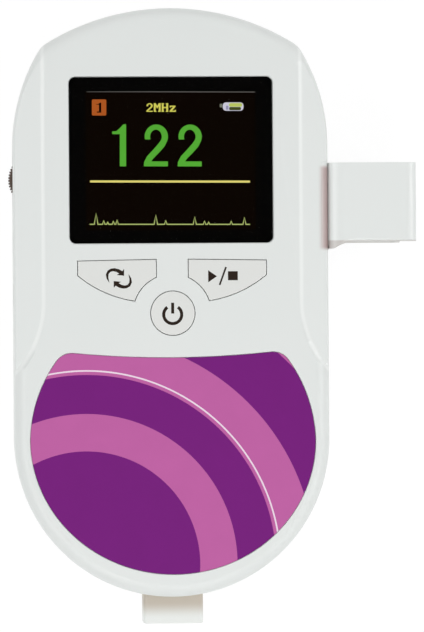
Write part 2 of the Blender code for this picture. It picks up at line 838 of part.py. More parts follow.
def front_cover():
    """The front shell with its lip, posts, window seat, key openings and label bed."""
    cover = front_form("front_cover", 0)
    lip = outline_solid(
        "front_lip",
        body_outline(LIP_INSET),
        PARTING_HEIGHT - LIP_HEIGHT,
        FRONT_BASE + WALL,
    )
    join(cover, lip)
    carve(cover, front_form("front_cavity", WALL))
    for across, up in post_places():
        join(
            cover,
            rod(
                "front_post",
                POST_RADIUS,
                (across, up, BOSS_TOP + FIT_GAP),
                (across, up, FRONT_CEILING + JOIN_OVERLAP),
            ),
        )
        carve(
            cover,
            rod(
                "post_bore",
                HOUSING_SCREW_SHANK_RADIUS + RUNNING_GAP,
                (across, up, BOSS_TOP - CUT_OVERRUN),
                (across, up, COUNTERBORE_DEPTH + HOUSING_SCREW_LENGTH + FIT_GAP),
            ),
        )
    for across, up in board_screw_places():
        join(
            cover,
            rod(
                "board_boss",
                BOARD_BOSS_RADIUS,
                (across, up, BOARD_TOP + FIT_GAP),
                (across, up, FRONT_CEILING + JOIN_OVERLAP),
            ),
        )
        carve(
            cover,
            rod(
                "board_boss_bore",
                BOARD_SCREW_SHANK_RADIUS + RUNNING_GAP,
                (across, up, BOARD_TOP - CUT_OVERRUN),
                (across, up, BOARD_BOTTOM + BOARD_SCREW_LENGTH + FIT_GAP),
            ),
        )
    carve(
        cover,
        outline_solid(
            "window_seat",
            rounded_rectangle(
                WINDOW_WIDTH + 2 * FILM_GAP,
                WINDOW_HEIGHT + 2 * FILM_GAP,
                WINDOW_CORNER + FILM_GAP,
                (0.0, WINDOW_Y),
            ),
            WINDOW_SEAT,
            BODY_DEPTH + CUT_OVERRUN,
        ),
    )
    carve(
        cover,
        block(
            "view_opening",
            (-VIEW_WIDTH / 2, WINDOW_Y - VIEW_HEIGHT / 2, FRONT_CEILING - CUT_OVERRUN),
            (VIEW_WIDTH / 2, WINDOW_Y + VIEW_HEIGHT / 2, BODY_DEPTH + CUT_OVERRUN),
        ),
    )
    carve(
        cover,
        outline_solid(
            "label_bed",
            label_outline(FILM_GAP),
            BODY_DEPTH - LABEL_SUNK - LABEL_THICKNESS - FILM_GAP,
            BODY_DEPTH + CUT_OVERRUN,
        ),
    )
    for outline in (side_key_outline(1), side_key_outline(-1), power_key_outline()):
        carve(
            cover,
            outline_solid(
                "key_opening",
                outline,
                FRONT_CEILING - CUT_OVERRUN,
                BODY_DEPTH + CUT_OVERRUN,
            ),
        )
    for cutter in side_opening_cutters():
        carve(cover, cutter)
    return finish(cover, "white_abs", WHITE_ABS, 0.38)


def display_window():
    """The flat acrylic window bonded to the seat in the front cover."""
    window = outline_solid(
        "display_window",
        rounded_rectangle(WINDOW_WIDTH, WINDOW_HEIGHT, WINDOW_CORNER, (0.0, WINDOW_Y)),
        WINDOW_TOP - WINDOW_THICKNESS,
        WINDOW_TOP,
    )
    return finish(window, "black_masked_acrylic", BLACK, 0.06)


def display_module():
    """The colour display cell under the window."""
    top = FRONT_CEILING - FIT_GAP
    module = outline_solid(
        "display_module",
        rectangle(
            (-DISPLAY_WIDTH / 2, WINDOW_Y - DISPLAY_HEIGHT / 2),
            (DISPLAY_WIDTH / 2, WINDOW_Y + DISPLAY_HEIGHT / 2),
        ),
        top - DISPLAY_THICKNESS,
        top,
    )
    return finish(module, "display_cell", BLACK, 0.1)


def display_frame():
    """The moulded frame that carries the display above the board."""
    seat = FRONT_CEILING - FIT_GAP - DISPLAY_THICKNESS - FIT_GAP
    wall = DISPLAY_FRAME_WALL
    width = DISPLAY_WIDTH + 2 * FIT_GAP
    height = DISPLAY_HEIGHT + 2 * FIT_GAP
    frame = outline_solid(
        "display_frame",
        rounded_rectangle(
            width + 2 * wall, height + 2 * wall, WINDOW_CORNER, (0.0, WINDOW_Y)
        ),
        BOARD_TOP + FIT_GAP,
        seat + DISPLAY_FRAME_GRIP,
    )
    keep(
        frame,
        outline_solid("frame_reach", body_outline(BOARD_INSET), 0, BODY_DEPTH),
    )
    carve(
        frame,
        block(
            "display_bed",
            (-width / 2, WINDOW_Y - height / 2, seat),
            (width / 2, WINDOW_Y + height / 2, seat + DISPLAY_FRAME_GRIP + CUT_OVERRUN),
        ),
    )
    carve(
        frame,
        block(
            "frame_opening",
            (wall - width / 2, WINDOW_Y - height / 2 + wall, 0),
            (width / 2 - wall, WINDOW_Y + height / 2 - wall, BODY_DEPTH),
        ),
    )
    return finish(frame, "frame_plastic", PAPER_BLACK, 0.6)


def face_label():
    """The printed film in its bed on the front cover."""
    top = BODY_DEPTH - LABEL_SUNK
    label = outline_solid("face_label", label_outline(0), top - LABEL_THICKNESS, top)
    return finish(label, "printed_film", PURPLE, 0.3)


# Keys and their switches


def key(name, outline, centre):
    """A key cap with its flange under the cover and its stem over the switch."""
    middle = Vector((*centre, FRONT_CEILING))
    flange_top = FRONT_CEILING - FIT_GAP
    flange_bottom = flange_top - KEY_FLANGE_THICKNESS
    cap = outline_solid(
        name,
        offset_outline(outline, -KEY_GAP),
        flange_bottom,
        BODY_DEPTH + KEY_PROUD,
    )
    flange = outline_solid(
        name + "_flange",
        offset_outline(outline, KEY_FLANGE_WIDTH),
        flange_bottom - JOIN_OVERLAP,
        flange_top,
    )
    join(cap, flange)
    stem = rod(
        name + "_stem",
        KEY_STEM_RADIUS,
        (*centre, plunger_top() + RUNNING_GAP),
        (*centre, flange_bottom),
    )
    join(cap, stem)
    pivot = bpy.data.objects.new(name + "_travel", None)
    PARTS.objects.link(pivot)
    pivot.location = middle
    carry(pivot, cap)
    finish(cap, "key_abs", KEY_WHITE, 0.42)
    return pivot


def carry(pivot, thing):
    """Parents a piece to its joint's empty, where it stands."""
    thing.parent = pivot
    thing.location -= pivot.location
    return thing


def plunger_top():
    """Height of the switches' plungers, which the keys' stems touch."""
    return BOARD_TOP + FIT_GAP + SWITCH_HEIGHT + 2 * KEY_TRAVEL + WELD_DISTANCE


def tact_switch(name, centre):
    """The fixed body of a key's switch, on the board, with the well its plunger sinks in."""
    base = BOARD_TOP + FIT_GAP
    top = base + SWITCH_HEIGHT
    half = SWITCH_SIDE / 2
    body = block(
        name,
        (centre[0] - half, centre[1] - half, base),
        (centre[0] + half, centre[1] + half, top),
    )
    well = rod(
        name + "_well",
        SWITCH_WELL_RADIUS,
        (*centre, top - SWITCH_WELL_DEPTH),
        (*centre, top + CUT_OVERRUN),
    )
    carve(body, well)
    return finish(body, "switch_body", BLACK, 0.5)


def switch_plunger(name, centre):
    """The switch's moving button."""
    top = BOARD_TOP + FIT_GAP + SWITCH_HEIGHT
    plunger = rod(
        name,
        PLUNGER_RADIUS,
        (*centre, top - SWITCH_WELL_DEPTH + KEY_TRAVEL + FIT_GAP),
        (*centre, plunger_top()),
    )
    return finish(plunger, "plunger", BLACK, 0.5)


def keys():
    """The three keys, each with its switch and the switch's plunger."""
    side_centre = (SIDE_SWITCH_X, SIDE_SWITCH_Y)
    for name, outline, centre in (
        ("mode", side_key_outline(-1), (-side_centre[0], side_centre[1])),
        ("play", side_key_outline(1), side_centre),
        ("power", power_key_outline(), (0.0, POWER_KEY_Y)),
    ):
        pivot = key(name + "_key", outline, centre)
        tact_switch(name + "_switch", centre)
        carry(pivot, switch_plunger(name + "_plunger", centre))


# The board and its screws


def screw(name, at, direction, head_radius, head_height, shank_radius, length):
    """A slotted screw whose seat is at a point and whose shank runs along a direction."""
    body = turned(
        name,
        [
            (0, length),
            (shank_radius, length - shank_radius / 2),
            (shank_radius, 0),
            (head_radius, 0),
            (head_radius, -head_height * SCREW_SIDE_SHARE),
            (head_radius * SCREW_FACE_SHARE, -head_height),
            (0, -head_height),
        ],
        at,
        HOLE_STEPS,
        direction,
    )
    way = Vector(direction)
    middle = Vector(at) - way * head_height
    side = way.orthogonal().normalized()
    across = way.cross(side)
    reach = (
        side * (head_radius + CUT_OVERRUN)
        + across * SCREW_SLOT_WIDTH / 2
        + way * SCREW_SLOT_DEPTH
    )
    low = [min(middle[n] + reach[n], middle[n] - reach[n]) for n in range(3)]
    high = [max(middle[n] + reach[n], middle[n] - reach[n]) for n in range(3)]
    carve(body, block(name + "_slot", low, high))
    return finish(body, "zinc_steel", STEEL, 0.35, 1.0)


def main_board():
    """The circuit board, cut to the housing's inside and cleared round the posts."""
    board = outline_solid(
        "main_board", body_outline(BOARD_INSET), BOARD_BOTTOM, BOARD_TOP
    )
    reach = BODY_WIDTH
    far = BODY_LENGTH
    carve(
        board,
        block("board_lower_cut", (-reach, -far, 0), (reach, BOARD_LOWER_Y, BODY_DEPTH)),
    )
    carve(
        board,
        block("board_upper_cut", (-reach, BOARD_UPPER_Y, 0), (reach, far, BODY_DEPTH)),
    )
    for across, up in post_places():
        carve(
            board,
            rod(
                "board_notch",
                POST_RADIUS + 2 * FIT_GAP,
                (across, up, 0),
                (across, up, BODY_DEPTH),
            ),
        )
    for across, up in board_screw_places():
        carve(
            board,
            rod(
                "board_hole",
                BOARD_SCREW_SHANK_RADIUS + FIT_GAP,
                (across, up, 0),
                (across, up, BODY_DEPTH),
            ),
        )
    return finish(board, "solder_mask", BOARD_GREEN, 0.4)


def board_screws():
    """The screws that hold the board to the front cover's bosses."""
    for number, (across, up) in enumerate(board_screw_places(), 1):
        screw(
            f"board_screw_{number}",
            (across, up, BOARD_BOTTOM - RUNNING_GAP),
            (0, 0, 1),
            BOARD_SCREW_HEAD_RADIUS,
            BOARD_SCREW_HEAD_HEIGHT,
            BOARD_SCREW_SHANK_RADIUS,
            BOARD_SCREW_LENGTH,
        )


def housing_screws():
    """The four screws that close the housing, driven from the back."""
    for number, (across, up) in enumerate(post_places(), 1):
        screw(
            f"housing_screw_{number}",
            (across, up, COUNTERBORE_DEPTH - RUNNING_GAP),
            (0, 0, 1),
            HOUSING_SCREW_HEAD_RADIUS,
            HOUSING_SCREW_HEAD_HEIGHT,
            HOUSING_SCREW_SHANK_RADIUS,
            HOUSING_SCREW_LENGTH,
        )


# The back cover


def capsule(length, width, centre):
    """A slot's outline with round ends, longer across than up."""
    radius = width / 2 - WELD_DISTANCE
    return rounded_rectangle(length, width, radius, centre, SLOT_END_STEPS)


def grille_slots():
    """The rows of slots over the loudspeaker, each as long as the circle lets it be."""
    for row in range(GRILLE_ROWS):
        rise = (row - (GRILLE_ROWS - 1) / 2) * GRILLE_PITCH
        half = math.sqrt(GRILLE_RADIUS**2 - rise**2)
        yield outline_solid(
            "grille_slot",
            capsule(2 * half, GRILLE_SLOT_WIDTH, (0.0, SPEAKER_Y + rise)),
            -CUT_OVERRUN,
            WALL + CUT_OVERRUN,
        )


def hook_places():
    """Where the door's hooks stand along its length."""
    for share in HOOK_PLACES_SHARES:
        yield DOOR_UPPER_Y + (WELL_LOWER_Y - DOOR_UPPER_Y) * share


def back_cover():
    """The back shell with its grille, screw bosses, battery well and door bed."""
    cover = back_form("back_cover", 0)
    carve(cover, back_form("back_cavity", WALL))
    carve(
        cover,
        outline_solid(
            "lip_rabbet",
            body_outline(LIP_INSET - RUNNING_GAP),
            PARTING_HEIGHT - LIP_HEIGHT - FIT_GAP,
            BACK_TOP + CUT_OVERRUN,
        ),
    )
    speaker_wall = turned(
        "speaker_wall",
        [
            (SPEAKER_RADIUS + FIT_GAP, WALL + SPEAKER_WALL_HEIGHT),
            (SPEAKER_RADIUS + FIT_GAP + SPEAKER_WALL, WALL + SPEAKER_WALL_HEIGHT),
            (SPEAKER_RADIUS + FIT_GAP + SPEAKER_WALL, WALL - JOIN_OVERLAP),
            (SPEAKER_RADIUS + FIT_GAP, WALL - JOIN_OVERLAP),
            (SPEAKER_RADIUS + FIT_GAP, WALL + SPEAKER_WALL_HEIGHT),
        ],
        (0, SPEAKER_Y, 0),
        ROUND_STEPS,
    )
    join(cover, speaker_wall)
    for slot in grille_slots():
        carve(cover, slot)
    for across, up in post_places():
        join(
            cover,
            rod(
                "back_boss",
                BOSS_RADIUS,
                (across, up, WALL - JOIN_OVERLAP),
                (across, up, BOSS_TOP),
            ),
        )
        carve(
            cover,
            rod(
                "counterbore",
                COUNTERBORE_RADIUS,
                (across, up, -CUT_OVERRUN),
                (across, up, COUNTERBORE_DEPTH),
            ),
        )
        carve(
            cover,
            rod(
                "shank_hole",
                HOUSING_SCREW_SHANK_RADIUS + FIT_GAP,
                (across, up, 0),
                (across, up, BOSS_TOP + CUT_OVERRUN),
            ),
        )
    add_battery_well(cover)
    for cutter in side_opening_cutters():
        carve(cover, cutter)
    for along in clip_boss_places():
        carve(
            cover,
            rod(
                "clip_boss_hole",
                CLIP_BOSS_RADIUS + RUNNING_GAP,
                (BODY_WIDTH / 2 - 2 * WALL, along, CLIP_BOSS_HEIGHT),
                (BODY_WIDTH / 2, along, CLIP_BOSS_HEIGHT),
            ),
        )
    return finish(cover, "white_abs", WHITE_ABS, 0.38)


def add_battery_well(cover):
    """The covered well for the battery, with the door's bed and the notches for its hooks."""
    half = WELL_WIDTH / 2
    wall = WELL_WALL
    join(
        cover,
        block(
            "well_outside",
            (-half - wall, WELL_LOWER_Y - wall, WALL - JOIN_OVERLAP),
            (half + wall, WELL_UPPER_Y + wall, WELL_HEIGHT + wall),
        ),
    )
    carve(
        cover,
        block(
            "well_inside",
            (-half, WELL_LOWER_Y, WALL),
            (half, WELL_UPPER_Y, WELL_HEIGHT),
        ),
    )
    bed = outline_solid(
        "door_bed",
        rectangle(
            (-DOOR_WIDTH / 2 - FIT_GAP, -BODY_LENGTH / 2 - CUT_OVERRUN),
            (DOOR_WIDTH / 2 + FIT_GAP, DOOR_UPPER_Y + FIT_GAP),
        ),
        -CUT_OVERRUN,
        DOOR_END_HEIGHT + FIT_GAP,
    )
    carve(bed, back_form("bed_floor", DOOR_THICKNESS + FIT_GAP))
    carve(cover, bed)
    ledge = DOOR_WIDTH / 2 - WELL_LEDGE
    carve(
        cover,
        block(
            "well_mouth",
            (-ledge, WELL_LOWER_Y + WELL_LEDGE, -CUT_OVERRUN),
            (ledge, WELL_UPPER_Y - WELL_LEDGE, WALL + CUT_OVERRUN),
        ),
    )
    for along in hook_places():
        drop = along - DOOR_TRAVEL
        reach = ledge + HOOK_REACH + FIT_GAP
        half_length = HOOK_LENGTH / 2 + FIT_GAP
        carve(
            cover,
            block(
                "hook_notch",
                (-reach, drop - half_length, -CUT_OVERRUN),
                (reach, drop + half_length, WALL + CUT_OVERRUN),
            ),
        )
    half_block = CONTACT_BLOCK_WIDTH / 2 + FIT_GAP
    carve(
        cover,
        block(
            "contact_window",
            (-half_block, WELL_UPPER_Y - CUT_OVERRUN, contact_base() - FIT_GAP),
            (
                half_block,
                WELL_UPPER_Y + wall + CUT_OVERRUN,
                contact_base() + CONTACT_BLOCK_HEIGHT + FIT_GAP,
            ),
        ),
    )
    catch = LATCH_WIDTH / 2 + FIT_GAP
    carve(
        cover,
        block(
            "latch_slot",
            (
                -catch,
                DOOR_UPPER_Y - CUT_OVERRUN,
                DOOR_THICKNESS - LATCH_THICKNESS - FIT_GAP,
            ),
            (
                catch,
                DOOR_UPPER_Y + LATCH_REACH + 2 * FIT_GAP,
                DOOR_THICKNESS + FIT_GAP,
            ),
        ),
    )
    return cover


def battery_door():
    """The door that slides towards the foot: curled end, four hooks, catch and thumb ribs."""
    door = back_form("battery_door", 0)
    plan = outline_solid(
        "door_plan",
        rectangle(
            (-DOOR_WIDTH / 2, -BODY_LENGTH / 2 - CUT_OVERRUN),
            (DOOR_WIDTH / 2, DOOR_UPPER_Y),
        ),
        -CUT_OVERRUN,
        DOOR_END_HEIGHT,
    )
    keep(door, plan)
    carve(door, back_form("door_hollow", DOOR_THICKNESS))
    ledge = DOOR_WIDTH / 2 - WELL_LEDGE
    inner = ledge - FIT_GAP
    for along in hook_places():
        for side in (1, -1):
            join(door, door_hook(side, along, inner))
    join(
        door,
        block(
            "door_latch",
            (
                -LATCH_WIDTH / 2,
                DOOR_UPPER_Y - JOIN_OVERLAP,
                DOOR_THICKNESS - LATCH_THICKNESS - RUNNING_GAP,
            ),
            (
                LATCH_WIDTH / 2,
                DOOR_UPPER_Y + LATCH_REACH,
                DOOR_THICKNESS - RUNNING_GAP,
            ),
        ),
    )
    for rib in range(THUMB_RIB_COUNT):
        along = THUMB_RIB_Y - rib * THUMB_RIB_PITCH
        carve(
            door,
            block(
                "thumb_groove",
                (-THUMB_RIB_LENGTH / 2, along - THUMB_RIB_WIDTH / 2, -CUT_OVERRUN),
                (THUMB_RIB_LENGTH / 2, along + THUMB_RIB_WIDTH / 2, THUMB_RIB_DEPTH),
            ),
        )
    return finish(door, "white_abs", WHITE_ABS, 0.38)


def door_hook(side, along, inner):
    """One of the door's hooks: up through the well's mouth, then out over its ledge."""
    foot = WALL + FIT_GAP
    hook = block(
        "hook_foot",
        (
            min(side * inner, side * (inner - HOOK_THICKNESS)),
            along - HOOK_LENGTH / 2,
            DOOR_THICKNESS - JOIN_OVERLAP,
        ),
        (
            max(side * inner, side * (inner - HOOK_THICKNESS)),
            along + HOOK_LENGTH / 2,
            foot + HOOK_THICKNESS,
        ),
    )
    toe = block(
        "hook_toe",
        (
            min(side * (inner - HOOK_THICKNESS), side * (inner + HOOK_REACH)),
            along - HOOK_LENGTH / 2,
            foot,
        ),
        (
            max(side * (inner - HOOK_THICKNESS), side * (inner + HOOK_REACH)),
            along + HOOK_LENGTH / 2,
            foot + HOOK_THICKNESS,
        ),
    )
    return join(hook, toe)


def battery_base():
    """Height of the battery's underside, just over the door's hooks."""
    return WALL + FIT_GAP + HOOK_THICKNESS + FIT_GAP


def battery_pack():
    """The flat rechargeable pack in its well."""
    length = BATTERY_UPPER_Y - BATTERY_LOWER_Y
    middle = (0.0, BATTERY_LOWER_Y + length / 2)
    pack = outline_solid(
        "battery_pack",
        rounded_rectangle(BATTERY_WIDTH, length, BATTERY_CORNER, middle),
        battery_base(),
        WELL_HEIGHT - FIT_GAP,
    )
    return finish(pack, "shrink_sleeve", BATTERY_BLUE, 0.45)


def contact_base():
    """Height of the contact block's underside."""
    return battery_base() + FIT_GAP


def contact_block():
    """The block of the battery's contacts, in its window at the head of the well."""
    low = WELL_UPPER_Y
    body = block(
        "contact_block",
        (-CONTACT_BLOCK_WIDTH / 2, low, contact_base()),
        (
            CONTACT_BLOCK_WIDTH / 2,
            low + CONTACT_BLOCK_DEPTH,
            contact_base() + CONTACT_BLOCK_HEIGHT,
        ),
    )
    return finish(body, "black_nylon", BLACK, 0.5)


def battery_contacts():
    """The bowed spring blades that press on the battery's pads."""
    middle = contact_base() + CONTACT_BLOCK_HEIGHT / 2
    reach = CONTACT_BLOCK_HEIGHT / 2 - CONTACT_SHEET
    face = WELL_UPPER_Y - RUNNING_GAP
    bulge = CONTACT_BULGE - RUNNING_GAP - CONTACT_SHEET
    radius = (reach**2 + bulge**2) / (2 * bulge)
    sweep = math.asin(reach / radius)
    pivot = (face + radius - bulge, middle)
    bow = arc(pivot, radius, math.pi - sweep, math.pi + sweep, KEY_ARC_STEPS)
    inner = arc(
        pivot, radius - CONTACT_SHEET, math.pi + sweep, math.pi - sweep, KEY_ARC_STEPS
    )
    profile = bow + [point for point in inner if point[0] < face - RUNNING_GAP]
    for number in range(CONTACT_COUNT):
        across = (number - (CONTACT_COUNT - 1) / 2) * CONTACT_PITCH
        blade = outline_solid(
            f"battery_contact_{number + 1}",
            profile,
            across - CONTACT_WIDTH / 2,
            across + CONTACT_WIDTH / 2,
            "X",
        )
        finish(blade, "gold_plate", GOLD, 0.25, 1.0)


# Volume wheel


def volume_wheel():
    """The knurled thumb wheel, bored for its axle and dished on the face with its screw."""
    points = []
    for tooth in range(WHEEL_TEETH):
        for part, radius in (
            (0.0, WHEEL_RADIUS),
            (TOOTH_LAND_SHARE, WHEEL_RADIUS),
            (TOOTH_ROOT_SHARE, WHEEL_RADIUS - WHEEL_TOOTH_DEPTH),
        ):
            angle = 2 * math.pi * (tooth + part) / WHEEL_TEETH
            points.append((radius * math.cos(angle), radius * math.sin(angle)))
    half = WHEEL_THICKNESS / 2
    wheel = outline_solid("volume_wheel", points, -half, half)
    dish_radius = WHEEL_RADIUS - WHEEL_TOOTH_DEPTH - WHEEL_RIM_WIDTH
    low, high = -half - CUT_OVERRUN, WHEEL_DISH_DEPTH - half
    dish = turned(
        "wheel_dish",
        [
            (WHEEL_HUB_RADIUS, high),
            (dish_radius, high),
            (dish_radius, low),
            (WHEEL_HUB_RADIUS, low),
            (WHEEL_HUB_RADIUS, high),
        ],
        (0, 0, 0),
    )
    carve(wheel, dish)
    bore = rod(
        "wheel_bore",
        AXLE_RADIUS + RUNNING_GAP,
        (0, 0, -WHEEL_THICKNESS),
        (0, 0, WHEEL_THICKNESS),
    )
    carve(wheel, bore)
    wheel.location = (WHEEL_X, WHEEL_Y, WHEEL_HEIGHT)
    return finish(wheel, "black_rubber_paint", BLACK, 0.5)


def volume_pot():
    """The potentiometer under the board, whose axle carries the wheel."""
    base = WHEEL_HEIGHT + WHEEL_THICKNESS / 2 + RUNNING_GAP
    end = WHEEL_HEIGHT - WHEEL_THICKNESS / 2
    pot = block(
        "volume_pot",
        (WALL + FIT_GAP - BODY_WIDTH / 2, WHEEL_Y - POT_WIDTH / 2, base),
        (WHEEL_X + POT_REACH, WHEEL_Y + POT_WIDTH / 2, BOARD_BOTTOM - FIT_GAP),
    )
    join(
        pot,
        rod(
            "pot_axle",
            AXLE_RADIUS,
            (WHEEL_X, WHEEL_Y, end),
            (WHEEL_X, WHEEL_Y, base + JOIN_OVERLAP),
        ),
    )
    carve(
        pot,
        rod(
            "axle_bore",
            WHEEL_SCREW_PIN_RADIUS + RUNNING_GAP,
            (WHEEL_X, WHEEL_Y, end - CUT_OVERRUN),
            (WHEEL_X, WHEEL_Y, end + WHEEL_SCREW_PIN_LENGTH + RUNNING_GAP),
        ),
    )
    return finish(pot, "pot_plastic", BLACK, 0.5)


def wheel_screw():
    """The screw in the axle's end that keeps the wheel on."""
    end = WHEEL_HEIGHT - WHEEL_THICKNESS / 2 - RUNNING_GAP
    return screw(
        "wheel_screw",
        (WHEEL_X, WHEEL_Y, end),
        (0, 0, 1),
        WHEEL_SCREW_HEAD_RADIUS,
        WHEEL_SCREW_HEAD_HEIGHT,
        WHEEL_SCREW_PIN_RADIUS,
        WHEEL_SCREW_PIN_LENGTH,
    )


# Sockets on the left


def socket(name, along, bore_radius, pin_radius):
    """A round socket under the board's edge, its nose in the hole in the side wall."""
    nose_end = SOCKET_SUNK - BODY_WIDTH / 2
    face = WALL + FIT_GAP - BODY_WIDTH / 2
    top = BOARD_BOTTOM - FIT_GAP
    body = block(
        name,
        (face, along - SOCKET_WIDTH / 2, top - SOCKET_HEIGHT),
        (face + SOCKET_LENGTH, along + SOCKET_WIDTH / 2, top),
    )
    join(
        body,
        rod(
            name + "_nose",
            SOCKET_NOSE_RADIUS,
            (nose_end, along, PARTING_HEIGHT),
            (face + JOIN_OVERLAP, along, PARTING_HEIGHT),
        ),
    )
    carve(
        body,
        rod(
            name + "_bore",
            bore_radius,
            (nose_end - CUT_OVERRUN, along, PARTING_HEIGHT),
            (nose_end + SOCKET_BORE_DEPTH, along, PARTING_HEIGHT),
        ),
    )
    if pin_radius:
        join(
            body,
            rod(
                name + "_pin",
                pin_radius,
                (nose_end + SOCKET_SUNK, along, PARTING_HEIGHT),
                (nose_end + SOCKET_BORE_DEPTH + JOIN_OVERLAP, along, PARTING_HEIGHT),
            ),
        )
    return finish(body, "black_nylon", BLACK, 0.4)


# Loudspeaker


def speaker():
    """The loudspeaker, face down on its gasket behind the grille."""
    base = WALL + RUNNING_GAP
    seat = base + GASKET_THICKNESS + RUNNING_GAP
    rim = SPEAKER_RADIUS - SPEAKER_RIM_WIDTH
    at = (0, SPEAKER_Y, 0)
    gasket = turned(
        "speaker_gasket",
        [
            (rim, base + GASKET_THICKNESS),
            (SPEAKER_RADIUS, base + GASKET_THICKNESS),
            (SPEAKER_RADIUS, base),
            (rim, base),
            (rim, base + GASKET_THICKNESS),
        ],
        at,
    )
    finish(gasket, "foam", FOAM, 0.9)
    sheet = SPEAKER_SHEET
    crown = seat + SPEAKER_HEIGHT
    neck = MAGNET_RADIUS - SPEAKER_SHEET
    basket = turned(
        "speaker_basket",
        [
            (neck, crown),
            (MAGNET_RADIUS + sheet, crown),
            (rim, seat + SPEAKER_STEP),
            (rim, seat + sheet),
            (SPEAKER_RADIUS, seat + sheet),
            (SPEAKER_RADIUS, seat),
            (rim - sheet, seat),
            (rim - sheet, seat + SPEAKER_STEP - sheet),
            (MAGNET_RADIUS, crown - sheet),
            (neck, crown - sheet),
            (neck, crown),
        ],
        at,
    )
    finish(basket, "pressed_steel", STEEL, 0.4, 1.0)
    thin = SPEAKER_CONE_SHEET
    edge = rim - sheet - FIT_GAP
    dome = SPEAKER_DOME_RADIUS
    deep = seat + SPEAKER_HEIGHT / 2
    cone = turned(
        "speaker_cone",
        [
            (0, deep - thin),
            (dome, deep),
            (edge - sheet, seat + thin),
            (edge, seat + thin),
            (edge, seat),
            (edge - sheet, seat),
            (dome, deep - thin),
            (0, deep - 2 * thin),
        ],
        at,
    )
    finish(cone, "coated_paper", PAPER_BLACK, 0.8)
    magnet = turned(
        "speaker_magnet",
        [
            (0, crown + RUNNING_GAP + MAGNET_HEIGHT),
            (MAGNET_RADIUS - sheet, crown + RUNNING_GAP + MAGNET_HEIGHT),
            (MAGNET_RADIUS, crown + RUNNING_GAP + MAGNET_HEIGHT - sheet),
            (MAGNET_RADIUS, crown + RUNNING_GAP),
            (0, crown + RUNNING_GAP),
        ],
        at,
    )
    finish(magnet, "magnet_pot", MAGNET, 0.4, 1.0)


# Probe port


def probe_port():
    """The port's shroud, with the flange that the two shells trap."""
    inner_end = PORT_FLOOR_Y + PORT_INSIDE_LENGTH
    centre = (0.0, PARTING_HEIGHT)
    shroud = outline_solid(
        "probe_port",
        rounded_rectangle(PORT_WIDTH, PORT_HEIGHT, PORT_CORNER, centre),
        PORT_MOUTH_Y,
        inner_end,
        "Y",
    )
    flange_face = port_flange_face()
    join(
        shroud,
        outline_solid(
            "port_flange",
            rounded_rectangle(
                PORT_FLANGE_WIDTH, PORT_FLANGE_HEIGHT, PORT_CORNER, centre
            ),
            flange_face,
            flange_face + PORT_FLANGE_THICKNESS,
            "Y",
        ),
    )
    carve(
        shroud,
        outline_solid(
            "port_cavity",
            rounded_rectangle(
                PORT_WIDTH - 2 * PORT_WALL,
                PORT_HEIGHT - 2 * PORT_WALL,
                PORT_CORNER / 2,
                centre,
            ),
            PORT_MOUTH_Y - CUT_OVERRUN,
            flange_face + PORT_FLANGE_THICKNESS + PORT_INSIDE_LENGTH,
            "Y",
        ),
    )
    return finish(shroud, "white_abs", WHITE_ABS, 0.38)


def port_flange_face():
    """Where the flange meets the shells' inside, at the flange's outer corners."""
    radius = BODY_WIDTH / 2 - WALL
    return FOOT_Y - math.sqrt(radius**2 - (PORT_FLANGE_WIDTH / 2) ** 2) + FIT_GAP


def port_insert():
    """The insulator in the port: its floor, and the shelf that carries the contacts."""
    width = PORT_WIDTH - 2 * PORT_WALL - 2 * RUNNING_GAP
    height = PORT_HEIGHT - 2 * PORT_WALL - 2 * RUNNING_GAP
    top = PARTING_HEIGHT + height / 2
    body = outline_solid(
        "port_insert",
        rounded_rectangle(width, height, PORT_CORNER / 2, (0.0, PARTING_HEIGHT)),
        PORT_MOUTH_Y + PORT_WALL,
        PORT_FLOOR_Y + PORT_INSIDE_LENGTH,
        "Y",
    )
    carve(
        body,
        block(
            "under_shelf",
            (-PORT_WIDTH, PORT_MOUTH_Y, 0),
            (PORT_WIDTH, PORT_FLOOR_Y, top - PORT_SHELF_THICKNESS),
        ),
    )
    under = top - PORT_SHELF_THICKNESS
    for across in port_pin_places():
        half = PORT_PIN_WIDTH / 2 + RUNNING_GAP
        carve(
            body,
            block(
                "pin_channel",
                (
                    across - half,
                    PORT_FLOOR_Y - CUT_OVERRUN,
                    under - PORT_PIN_SHEET - 2 * RUNNING_GAP,
                ),
                (
                    across + half,
                    PORT_FLOOR_Y + PORT_INSIDE_LENGTH + CUT_OVERRUN,
                    under,
                ),
            ),
        )
    return finish(body, "black_nylon", BLACK, 0.5)


def port_pin_places():
    """Where the port's contacts lie across its width."""
    for number in range(PORT_PIN_COUNT):
        yield (number - (PORT_PIN_COUNT - 1) / 2) * PORT_PIN_PITCH


def port_pins():
    """The flat contacts under the shelf, with their tails behind the insulator."""
    height = PORT_HEIGHT - 2 * PORT_WALL - 2 * RUNNING_GAP
    top = PARTING_HEIGHT + height / 2 - PORT_SHELF_THICKNESS - RUNNING_GAP
    for number, across in enumerate(port_pin_places(), 1):
        half = PORT_PIN_WIDTH / 2
        pin = block(
            f"port_contact_{number}",
            (across - half, PORT_MOUTH_Y + 2 * PORT_WALL, top - PORT_PIN_SHEET),
            (
                across + half,
                PORT_FLOOR_Y + PORT_INSIDE_LENGTH + PORT_TAIL_LENGTH,
                top,
            ),
        )
        finish(pin, "gold_plate", GOLD, 0.25, 1.0)


# Probe clip


def clip_boss_places():
    """Where the clip's two bosses stand along its length."""
    for side in (1, -1):
        yield CLIP_Y + side * CLIP_BOSS_SPACING / 2


def clip_corner(pivot, quarter, radius):
    """A quarter of a circle round a corner of the clip, outside it or inside it."""
    start = quarter * math.pi / 2
    return arc(pivot, radius, start, start + math.pi / 2, CORNER_STEPS)


